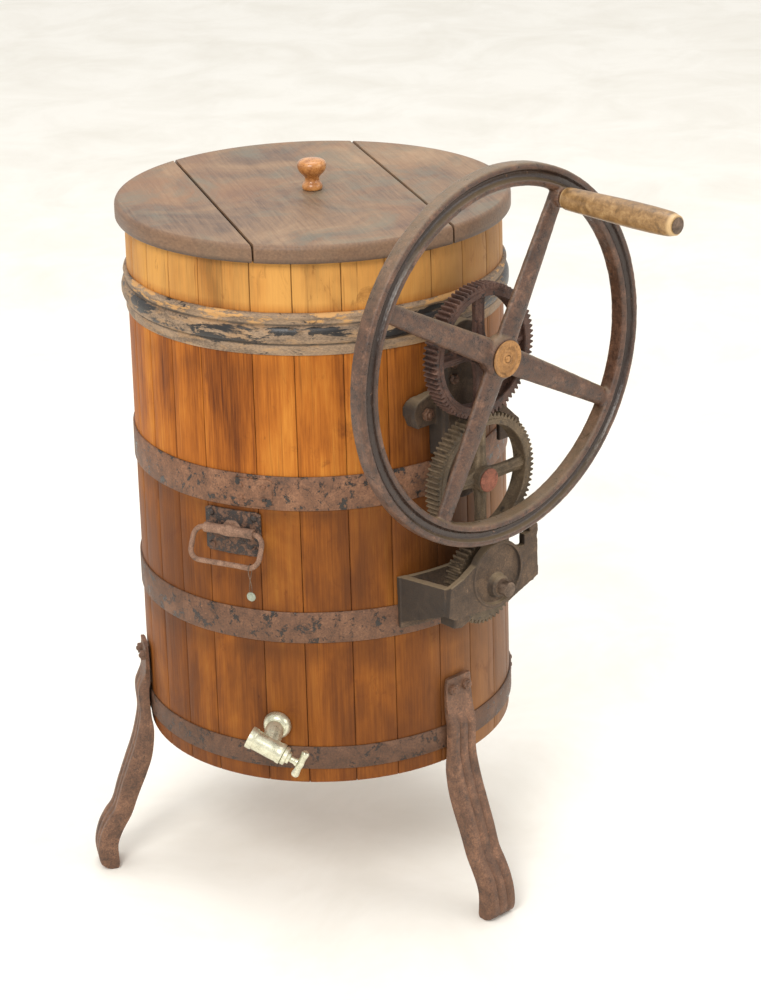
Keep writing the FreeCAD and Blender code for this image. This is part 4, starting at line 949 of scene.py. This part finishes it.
def build_crank(wood, iron):
    place = front(WHEEL_Z, WHEEL_MID) @ Matrix.Rotation(math.radians(WHEEL_TURN), 4, "Z")
    place = place @ Matrix.Translation((GRIP_RAD, 0, 0))
    pin = Shape()
    pin.turned([(0.02, 13.0), (5.0, 13.0), (5.0, 197.8), (10.0, 198.1), (10.4, 199.0), (9.6, 199.8),
                (6.0, 200.0), (4.4, 200.6), (2.4, 200.9), (0.02, 200.95)], place, 32)
    pin.object("crank_pin_turned", iron, "wheel", ("crank_pin",), 40.0)
    grip = Shape()
    profile = [(6.2, 17.0), (11.6, 17.0), (13.4, 18.4), (14.3, 22.0), (14.6, 30.0), (15.2, 60.0),
               (16.1, 100.0), (16.4, 130.0), (16.2, 160.0), (15.6, 178.0), (15.2, 186.0), (14.4, 190.4),
               (13.2, 194.4), (12.4, 197.4), (11.4, 197.6), (6.2, 197.6)]
    marks = grip.turned(profile, place, 48, ring=True)
    for (_, at), row in zip(profile, marks):
        for index in row:
            grip.mark("worn", index, 1.0 if at > 194 or at < 19 else 0.0)
    grip.object("crank_grip_turned", wood, "grip", ("crank_grip",), 40.0)


def build_axle_ends(brass, iron):
    disc = Shape()
    profile = [(5.2, 0.1), (22.6, 0.1), (23.8, 0.9), (23.8, 1.7), (23.0, 2.4), (20.6, 2.4), (19.6, 1.7),
               (16.0, 1.6), (14.6, 2.4), (11.6, 2.45), (10.2, 1.7), (8.0, 1.6), (7.0, 2.3), (5.2, 2.4)]
    place = front(WHEEL_Z, WASHER_D)
    disc.turned(profile, place, 64, ring=True)
    disc.object("axle_washer_turned", brass, "tub", ("axle_washer",), 40.0)
    screw = Shape()
    profile = [(0.02, 0.6), (4.7, 0.6), (4.75, 1.6), (4.2, 2.7), (3.0, 3.5), (1.4, 3.9), (0.02, 3.98)]
    screw.turned(profile, place, 32)
    screw.object("axle_screw_turned", brass, "tub", ("axle_screw",), 40.0)
    idler = Shape()
    head = smooth_line([(8.0, 60.5), (14.6, 60.6), (15.4, 61.1), (15.3, 62.2), (12.0, 63.0), (5.0, 62.6),
                        (0.02, 62.4)], 3)
    shank = [(0.02, 3.2), (8.0, 3.2)]
    idler.turned(shank + [tuple(point) for point in head], front(IDLER_Z, 260.0), 40)
    idler.object("idler_axle_turned", iron, "tub", ("idler_axle",), 50.0)


# ---- brackets

def build_upper_bracket(material):
    """The spine that holds both stub axles, with its two flanges and the rolled edge of its ears."""
    extra = Shape()
    place = front(0.0)
    for side in (-1, 1):
        rib = [(side * 33, 745, 258), (side * 44, 745, 259), (side * 56, 741, 259), (side * 66, 733, 258),
               (side * 70, 722, 256), (side * 66, 711, 254)]
        extra.pipe(smooth_line(rib, 3), 3.6, place)
    for left in (-34, 27):
        flange = [(left, 668), (left + 7, 668), (left + 7, 800), (left, 800)]
        extra.prism(flange, BRACKET_BACK, BRACKET_BACK + 18, place, 1.5)
    cast(joined("upper_bracket", extra), "upper_bracket_cast", material, "tub",
         ("upper_bracket",), 1.4, 2, 0.3)


def build_lower_bracket(material):
    """The gear's cage: rolled edge, peg, foot and shaft boss are added to the CAD shape."""
    extra = Shape()
    place = front(0.0)
    extra.pipe([(-84, 512, 334), (-62, 519, 334.5)], 2.6, place)
    lug = [(56, 540), (74, 538), (78, 546), (77, 556), (68, 559), (60, 555), (63, 548), (57, 546)]
    extra.prism(lug, 322, 334, place, 1.5)
    extra.prism([(-72, 452), (-58, 449), (-44, 454), (-40, 467), (-72, 467)], 300, 330, place, 3.0)
    boss = [(0.02, 330.0), (17.0, 330.0), (16.2, 335.0), (14.0, 340.0), (12.4, 344.0), (0.02, 344.4)]
    extra.turned(boss, front(SHAFT_Z), 32)
    cast(joined("lower_bracket", extra), "lower_bracket_cast", material, "tub",
         ("lower_bracket",), 1.2, 2, 0.25)


# ---- legs

# The leg's outer and inner line, as (distance from the tub's axis, height), from the top down.
LEG_OUTER = ((261.0, 338), (261.2, 326), (261.8, 312), (263.4, 296), (268.4, 284), (272.6, 273), (273.4, 258),
             (272.6, 243), (273.6, 225), (282.0, 190), (294.0, 157), (306.0, 124), (316.4, 92), (327, 77),
             (336.4, 60), (342.2, 42), (344.4, 24), (342.0, 9), (335, 2.0), (330, 0.6))
LEG_INNER = ((255.0, 338), (255.0, 326), (255.0, 312), (255.2, 296), (255.4, 284), (257.6, 273), (257.8, 258),
             (257.6, 243), (256.6, 226), (254.6, 204), (259.0, 172), (268.0, 146), (282.0, 113), (292.0, 86),
             (302.0, 68), (309.6, 54), (315.0, 38), (315.6, 20), (315.0, 6), (317, 0.6))


def ridge_depth(share):
    """How far the leg's outer face sinks between its three ridges, at -1 to 1 across it."""
    return 3.4 * max(0.0, math.cos(math.pi * 3 * share) * -1.0) ** 1.5 if abs(share) < 0.99 else 3.0


def build_leg(number, azimuth, material):
    outer = smooth_line(LEG_OUTER, 4)
    inner = smooth_line(LEG_INNER, 4)
    shares = [-1 + 2 * k / 24 for k in range(25)]
    rows = []
    for one, two in zip(outer, inner):
        height = one.y
        blend = min(1.0, max(0.0, (292.0 - height) / 24.0)) * min(1.0, max(0.15, height / 26.0))
        half = 23.2 - 0.8 * math.sin(math.pi * min(height, 300.0) / 300.0)
        if height > LEG_BOLT_Z:
            half -= 2.5 * ((height - LEG_BOLT_Z) / 16.0) ** 2
        broken = 2.2 if height < 290 else 0.8
        out = (one - two).normalized()
        face = []
        for share in shares:
            corner = broken * max(0.0, abs(share) - 0.9) / 0.1
            at = one - out * (ridge_depth(share) * blend + corner)
            face.append((half * share, at.y, at.x))
        back = []
        for share in reversed(shares[::4]):
            at = two + out * (1.2 if abs(share) > 0.9 else 0.0)
            back.append((half * share * 0.97, at.y, at.x))
        rows.append(face + back)
    shape = Shape()
    shape.loft(rows, facing(azimuth, 0.0, 0.0))
    for vert in shape.verts:
        drift = noise.noise(vert * 0.045) * 0.5 + noise.noise(vert * 0.16) * 0.25
        local = vert - Vector((0, AXIS_Y, 0))
        if local.z > 3.0:
            reach = math.hypot(local.x, local.y)
            vert.x += local.x / reach * min(drift, 0.0)
            vert.y += local.y / reach * min(drift, 0.0)
    name = "leg_%d" % (number + 1)
    shape.object(name + "_cast", material, "tub", (name,), 50.0)


def hexagon(shape, place, across, height, turn=0.0):
    """A nut with its corners turned off, and the bolt's domed end showing."""
    corner = across / math.sqrt(3.0)
    rows = []
    for scale, z in ((1.0, 0.0), (1.0, height - 1.0), (0.9, height), (0.45, height + 0.05)):
        ring = []
        for a in angles(24):
            flat = across / 2 / math.cos((a % (math.pi / 3)) - math.pi / 6)
            radius = min(flat, corner * 0.985) * scale
            ring.append(around(a + turn, radius, z))
        rows.append(ring)
    shape.loft(rows, place)
    dome(shape, place @ Matrix.Translation((0, 0, height)), across * 0.27, 2.4, 14)


def build_fasteners(material):
    legs = Shape()
    for azimuth in LEG_AZIMUTHS:
        place = facing(azimuth, TUB_LOW_R + 7.0, LEG_BOLT_Z)
        for side in (-12.5, 12.5):
            hexagon(legs, place @ Matrix.Translation((side, 0, 0.05)), 13.0, 5.8, RANDOM.uniform(0, 1))
    legs.object("leg_bolt_heads", material, "tub", ("leg_bolts",), 35.0)
    nuts = Shape()
    for x in (-20, 20):
        for z in (WHEEL_Z - 18, WHEEL_Z - 39):
            hexagon(nuts, front(z, 280.0) @ Matrix.Translation((x, 0, 0)), 12.0, 4.8, RANDOM.uniform(0, 1))
    for x in (-51, 51):
        hexagon(nuts, front(723, 262.0) @ Matrix.Translation((x, 0, 0.3)), 15.0, 6.6, RANDOM.uniform(0, 1))
    nuts.object("upper_bracket_nut_heads", material, "tub", ("upper_bracket_nuts",), 35.0)
    coach = Shape()
    for side in (-11.5, 11.5):
        hexagon(coach, facing(-90.0 + side, 261.0, 446.0), 14.0, 5.8, RANDOM.uniform(0, 1))
    coach.object("lower_bracket_bolt_heads", material, "tub", ("lower_bracket_bolts",), 35.0)


# ---- drop handles and seal

def build_handle(side, azimuth, material, plate_material):
    name = "handle_plate_" + side
    shape = Shape()
    wall = tub_radius(PLATE_LOW) + 0.15
    rows = []
    half = 9.1
    steps = 24
    for k in range(steps + 1):
        share = -1 + 2 * k / steps
        turn = math.radians(azimuth + half * share)
        notch = 3.0 * max(0.0, abs(share) - 0.86) / 0.14
        low = PLATE_LOW + 0.4 + notch + 1.6 * noise.noise(Vector((share * 4, 2.0, len(side))))
        low = max(low, PLATE_LOW + 0.2)
        high = 599.6 - notch
        section = [(0.0, low), (2.2, low), (2.9, low + 0.9), (2.9, high - 0.9), (2.2, high), (0.0, high)]
        rows.append([around(turn, wall + out, z) for out, z in section])
    shape.loft(rows, UPRIGHT)
    place = facing(azimuth, 0.0, PIVOT_Z)
    half_barrel = [(7.6, 4.0), (7.0, 10.0), (6.2, 14.0), (6.5, 28.0), (6.9, 34.6), (6.3, 35.8), (4.25, 36.0)]
    barrel = [(radius, -at) for radius, at in reversed(half_barrel)] + half_barrel
    lying = place @ Matrix.Translation((0, 0, PIVOT_OUT)) @ Matrix.Rotation(math.radians(90), 4, "Y")
    shape.turned(barrel, lying, 28, ring=True)
    saddle = [(-13, -9), (13, -9), (15, -4), (12, 4), (6, 11), (-6, 11), (-12, 4), (-15, -4)]
    rows = []
    for scale, z in ((1.2, 252.6), (1.05, 255.0), (0.9, 257.6)):
        rows.append([(x * scale, y * scale, z) for x, y in saddle])
    shape.loft(rows, place)
    piece = shape.object(name + "_forged", plate_material, "tub", (name,), 40.0)
    piece.data.materials.append(material)
    barrel_from = 256.2 * MM
    for face in piece.data.polygons:
        out = math.hypot(face.center.x, face.center.y - AXIS_Y * MM)
        face.material_index = 1 if out > barrel_from else 0
    screws = Shape()
    for off in (-7.0, 7.0):
        for z in (546.0, 592.0):
            dome(screws, facing(azimuth + off, wall + 3.0, z), 5.2, 3.4, 18)
    screws.object("handle_screw_heads_" + side, plate_material, "tub",
                  ("handle_screws_" + side,), 60.0)
    build_bail(side, azimuth, material)


def build_bail(side, azimuth, material):
    """The closed loop of rod, leaning out from the barrel, slightly uneven as forged."""
    half, drop, bend = 50.0, 43.0, 14.0
    path = []
    for k in range(9):
        path.append((-half + bend + (half - bend) * 2 * k / 9, 0))
    for index, (x, y) in enumerate(((half, 0), (half, -drop), (-half, -drop), (-half, 0))):
        cx = x - math.copysign(bend, x)
        cy = y - bend if y == 0 else y + bend
        start = (90, 0, -90, 180)[index]
        for k in range(7):
            a = math.radians(start - 15 * k)
            path.append((cx + bend * math.cos(a), cy + bend * math.sin(a)))
        if index == 1:
            for k in range(1, 9):
                path.append((half - bend - (half - bend) * 2 * k / 9, -drop))
    lean = math.radians(27.0)
    place = facing(azimuth, PIVOT_OUT, PIVOT_Z) @ Matrix.Rotation(-lean, 4, "X")
    line = []
    radii = []
    for index, (x, y) in enumerate(path):
        on_axis = y > -1.0 and abs(x) < half - bend + 1
        wave = 0.0 if on_axis else 0.35 * noise.noise(Vector((x * 0.06, y * 0.06, 5)))
        line.append((x, y + wave, wave))
        radii.append(3.7 if on_axis else 3.45 + 0.2 * noise.noise(Vector((x * 0.1, y * 0.1, 1))))
    shape = Shape()
    shape.pipe(line, radii, place, 16, closed=True)
    shape.object("bail_%s_rod" % side, material, "bail_" + side, ("bail_" + side,), 60.0)


def build_seal(wire_material, lead_material):
    low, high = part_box("lead_seal")
    lead_at = (low + high) / (2 * MM)
    wire_low, wire_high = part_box("seal_wire")
    eye = Vector(((wire_low.x + wire_high.x) / (2 * MM), (wire_low.y + wire_high.y) / (2 * MM),
                  wire_high.z / MM - 5.2))
    place = facing(HANDLE_AZ, 0.0, 0.0)
    across, up, out = (place.col[k].to_3d() for k in range(3))
    wire = Shape()
    loop = []
    for k in range(9):
        a = math.pi * k / 8
        loop.append(eye + out * 4.9 * math.cos(a) + up * 4.9 * math.sin(a))
    start = [lead_at + across * 0.9 + up, lead_at + across * 1.4 + up * 14,
             eye + out * 4.7 + across * 0.6 - up * 8]
    stop = [eye - out * 4.7 - across * 0.6 - up * 8, lead_at - across * 1.6 + up * 15,
            lead_at - across * 0.9 + up]
    wire.pipe(smooth_line(start + loop + stop, 3), 0.55, sides=8)
    wire.object("seal_wire_strands", wire_material, "seal", ("seal_wire",), 60.0)
    lead = Shape()
    place.translation = lead_at
    profile = [(0.02, -1.5), (2.6, -1.55), (4.4, -1.3), (5.7, -1.1), (6.25, -0.5), (6.25, 0.5), (5.7, 1.1),
               (4.4, 1.3), (3.0, 1.15), (0.02, 1.1)]
    rows = []
    for radius, height in profile:
        row = []
        for a in angles(28):
            dent = 1.0 + 0.035 * noise.noise(Vector(around(a, 2, 1)))
            row.append(around(a, min(radius * dent, 6.35), height))
        rows.append(row)
    lead.loft(rows, place)
    lead.object("lead_seal_disc", lead_material, "seal", ("lead_seal",), 50.0)


# ---- the drain tap

def tap_frame():
    """The tap's own frame: local Z runs down its barrel from the outlet to the key."""
    turn = math.radians(TAP_AZ)
    centre = Vector(around(turn, tub_radius(TAP_Z) + 42.0, TAP_Z - 13.0)) + Vector((0, AXIS_Y, 0))
    spin = Matrix.Rotation(math.radians(TAP_AZ + 90.0), 4, "Z") @ Matrix.Rotation(math.radians(26.0), 4, "Y")
    lay = Matrix.Rotation(math.radians(90.0), 4, "Y")
    return Matrix.Translation(centre) @ spin @ lay, centre


def build_tap(material):
    place, centre = tap_frame()
    body = Shape()
    barrel = smooth_line([(7.1, -29.8), (13.8, -29.8), (14.8, -28.4), (14.8, -22.4), (14.0, -20.8),
                          (13.5, -19.4), (13.4, -8.0), (13.6, 4.0), (13.2, 12.0), (13.6, 14.6), (14.0, 16.0),
                          (13.9, 19.2), (13.0, 20.0), (7.1, 20.0)], 2)
    body.turned([tuple(point) for point in barrel], place, 40, ring=True)
    base = facing(TAP_AZ, tub_radius(TAP_Z) + 0.4, TAP_Z)
    flange = [(0.02, 0.0), (18.4, 0.0), (18.9, 1.4), (18.6, 4.0), (17.6, 7.0), (15.8, 9.8), (13.2, 12.0),
              (0.02, 14.0)]
    body.turned(flange, base, 40)
    neck = [base @ Vector(p) for p in ((0, 0, -12.0), (0, 0, 2.0), (0, -1.0, 12.0), (0, -7.0, 28.0))]
    radii = [radius for radius in (12.0, 12.1, 12.4, 12.2) for _ in range(5)] + [11.8]
    body.pipe(smooth_line(neck + [centre], 5), radii, sides=28)
    body.object("tap_body_cast", material, "tub", ("tap_body",), 40.0)
    gland = Shape()
    gland.turned([(4.7, 20.3), (11.2, 20.3), (12.4, 21.4), (12.4, 25.8), (11.2, 26.8), (8.2, 27.2),
                  (7.9, 30.6), (6.8, 30.9), (4.7, 30.9)], place, 36, ring=True)
    gland.object("tap_gland_turned", material, "tub", ("tap_gland",), 40.0)
    key = Shape()
    key.turned([(0.02, -5.8), (6.8, -5.6), (6.8, 15.8), (4.4, 16.2), (4.4, 38.0), (5.6, 39.6), (5.6, 42.0),
                (0.02, 42.4)], place, 28)
    bar = [(0.02, -20.4), (3.2, -20.2), (5.0, -18.6), (5.3, -15.6), (4.6, -11.0), (4.3, -6.0), (5.0, 0.0),
           (4.3, 6.0), (4.6, 11.0), (5.3, 15.6), (5.0, 18.6), (3.2, 20.2), (0.02, 20.4)]
    across = place @ Matrix.Translation((0, 0, 46.0)) @ Matrix.Rotation(math.radians(90.0), 4, "Y")
    key.turned([tuple(point) for point in smooth_line(bar, 3)], across, 28)
    key.object("tap_key_cast", material, "tap_key", ("tap_key",), 40.0)


# ---- camera, floor and light

def build_camera():
    """The camera, placed and turned as the object was seen."""
    data = bpy.data.cameras.new("camera")
    data.sensor_fit = "VERTICAL"
    data.sensor_height = 36.0
    data.lens = 94.254
    made = bpy.data.objects.new("camera", data)
    made.location = (-2.19338, -2.36602, 1.87140)
    made.rotation_euler = [math.radians(turn) for turn in (67.8346, 1.3968, -43.0907)]
    bpy.context.scene.collection.objects.link(made)
    bpy.context.scene.camera = made


def build_floor(material):
    size = 16.0
    corners = [(-size, -size, 0), (size, -size, 0), (size, size, 0), (-size, size, 0)]
    mesh = bpy.data.meshes.new("floor")
    mesh.from_pydata(corners, [], [(0, 1, 2, 3)])
    mesh.materials.append(material)
    made = bpy.data.objects.new("floor", mesh)
    bpy.context.scene.collection.objects.link(made)


def build_light(name, place, target, size, power, tone):
    data = bpy.data.lights.new(name, "AREA")
    data.shape = "DISK"
    data.size = size
    data.energy = power
    data.color = tone
    made = bpy.data.objects.new(name, data)
    made.location = place
    made.rotation_euler = (Vector(target) - Vector(place)).to_track_quat("-Z", "Y").to_euler()
    bpy.context.scene.collection.objects.link(made)


def build_studio():
    world = bpy.data.worlds.new("studio")
    bpy.context.scene.world = world
    world.use_nodes = True
    ground = world.node_tree.nodes["Background"]
    ground.inputs["Color"].default_value = (1.0, 0.98, 0.955, 1.0)
    ground.inputs["Strength"].default_value = 0.9
    target = (0.0, 0.1, 0.6)
    build_light("key", (-2.9, -1.5, 3.4), target, 1.6, 95.0, (1.0, 0.975, 0.94))
    build_light("fill", (1.6, -3.6, 2.2), target, 2.4, 34.0, (1.0, 0.98, 0.96))
    build_light("overhead", (0.4, 0.6, 4.0), target, 2.6, 50.0, (1.0, 0.985, 0.96))
    bpy.context.scene.view_settings.view_transform = "Standard"


# ---- everything

def build_all():
    oak = oak_staves()
    lid = lid_boards()
    knob = turned_wood("knob_wood", (140, 84, 38), (184, 124, 66), (212, 156, 96), (140, 84, 38), 0.18)
    grip = turned_wood("grip_wood", (100, 74, 42), (140, 106, 64), (172, 138, 92), (206, 172, 122), 0.34)
    raw = raw_wood()
    hoop = rusty("hoop_rust", (118, 80, 56), (152, 110, 80), (34, 30, 27), 0.452, 0.32, 0.9, low=0.5)
    wheel = rusty("wheel_paint", (92, 64, 48), (136, 100, 78), (42, 32, 28), 0.54, 0.18, dust_and_top_light=0.4, edge=0.22,
                  channel_shade=0.85)
    gear = rusty("gear_paint", (84, 58, 48), (122, 90, 74), (40, 30, 28), 0.44, 0.34, 1.3)
    olive = rusty("gear_olive", (100, 84, 64), (136, 116, 90), (54, 46, 36), 0.42, 0.42, 1.3)
    # bracket iron: dust and painted light on upward faces, painted shade on its far sides
    bracket = rusty("bracket_iron_dust_and_shade", (84, 66, 50), (118, 94, 72), (46, 36, 30), 0.42, 0.46, dust_and_top_light=0.6,
                    edge=0.12, shaded=(2, 0))
    leg = rusty("leg_rust", (108, 76, 56), (152, 110, 82), (52, 38, 30), 0.46, 0.3, edge=0.14)
    handle = rusty("handle_rust", (132, 100, 80), (170, 136, 112), (62, 46, 38), 0.4, 0.5, 1.4)
    plate = rusty("handle_plate_rust", (104, 74, 56), (140, 104, 82), (40, 31, 27), 0.52, 0.42, 1.4)
    red = rusty("peened_rust", (140, 84, 64), (176, 116, 92), (90, 54, 44), 0.4, 0.5, 2.0)
    steel = metal("worn_steel", (84, 70, 60), (128, 108, 92), 0.36, metallic=0.7)
    brass = metal("dull_brass", (136, 98, 60), (184, 138, 90), 0.34, metallic=0.75)
    nickel = metal("nickel_plate", (186, 184, 160), (226, 224, 200), 0.2, 0.12, metallic=0.75, dirt=0.2)
    lead = metal("lead_grey", (120, 126, 112), (162, 168, 152), 0.5, metallic=0.4)
    build_floor(floor_paint())
    build_staves(oak)
    build_hoops(hoop, top_hoop())
    build_lid(lid, knob)
    for node in ("lid_batten_front", "lid_batten_back"):
        softened(node, node + "_sawn", raw, "lid", 1.5)
    softened("lid_screws", "lid_screw_heads", steel, "lid", 0.5)
    softened("tub_bottom", "tub_bottom_board", raw, "tub", 0.8)
    softened("agitator_paddles", "agitator_paddle_boards", raw, "agitator", 2.5)
    for node, body in (("agitator_shaft", "agitator"), ("agitator_hubs", "agitator"), ("wheel_axle", "tub"),
                       ("thrust_washers", "tub"), ("shaft_gland", "tub"), ("rear_bearing", "tub")):
        softened(node, node + "_turned", steel, body, 0.8)
    build_big_gear("top_gear", "top_gear_cast", WHEEL_Z, -90.0, "wheel", 323.5, 9.1, gear)
    build_big_gear("middle_gear", "middle_gear_cast", IDLER_Z, 90.0 + 180.0 / BIG_TEETH, "idler", 320.5, 8.1,
                   olive)
    build_small_gear(olive)
    build_handwheel(wheel)
    build_crank(grip, steel)
    build_axle_ends(brass, red)
    build_upper_bracket(bracket)
    build_lower_bracket(bracket)
    for number, azimuth in enumerate(LEG_AZIMUTHS):
        build_leg(number, azimuth, leg)
    build_fasteners(leg)
    build_handle("left", HANDLE_AZ, handle, plate)
    build_handle("right", HANDLE_AZ + 180.0, handle, plate)
    build_seal(steel, lead)
    build_tap(nickel)
    build_camera()
    build_studio()


build_all()
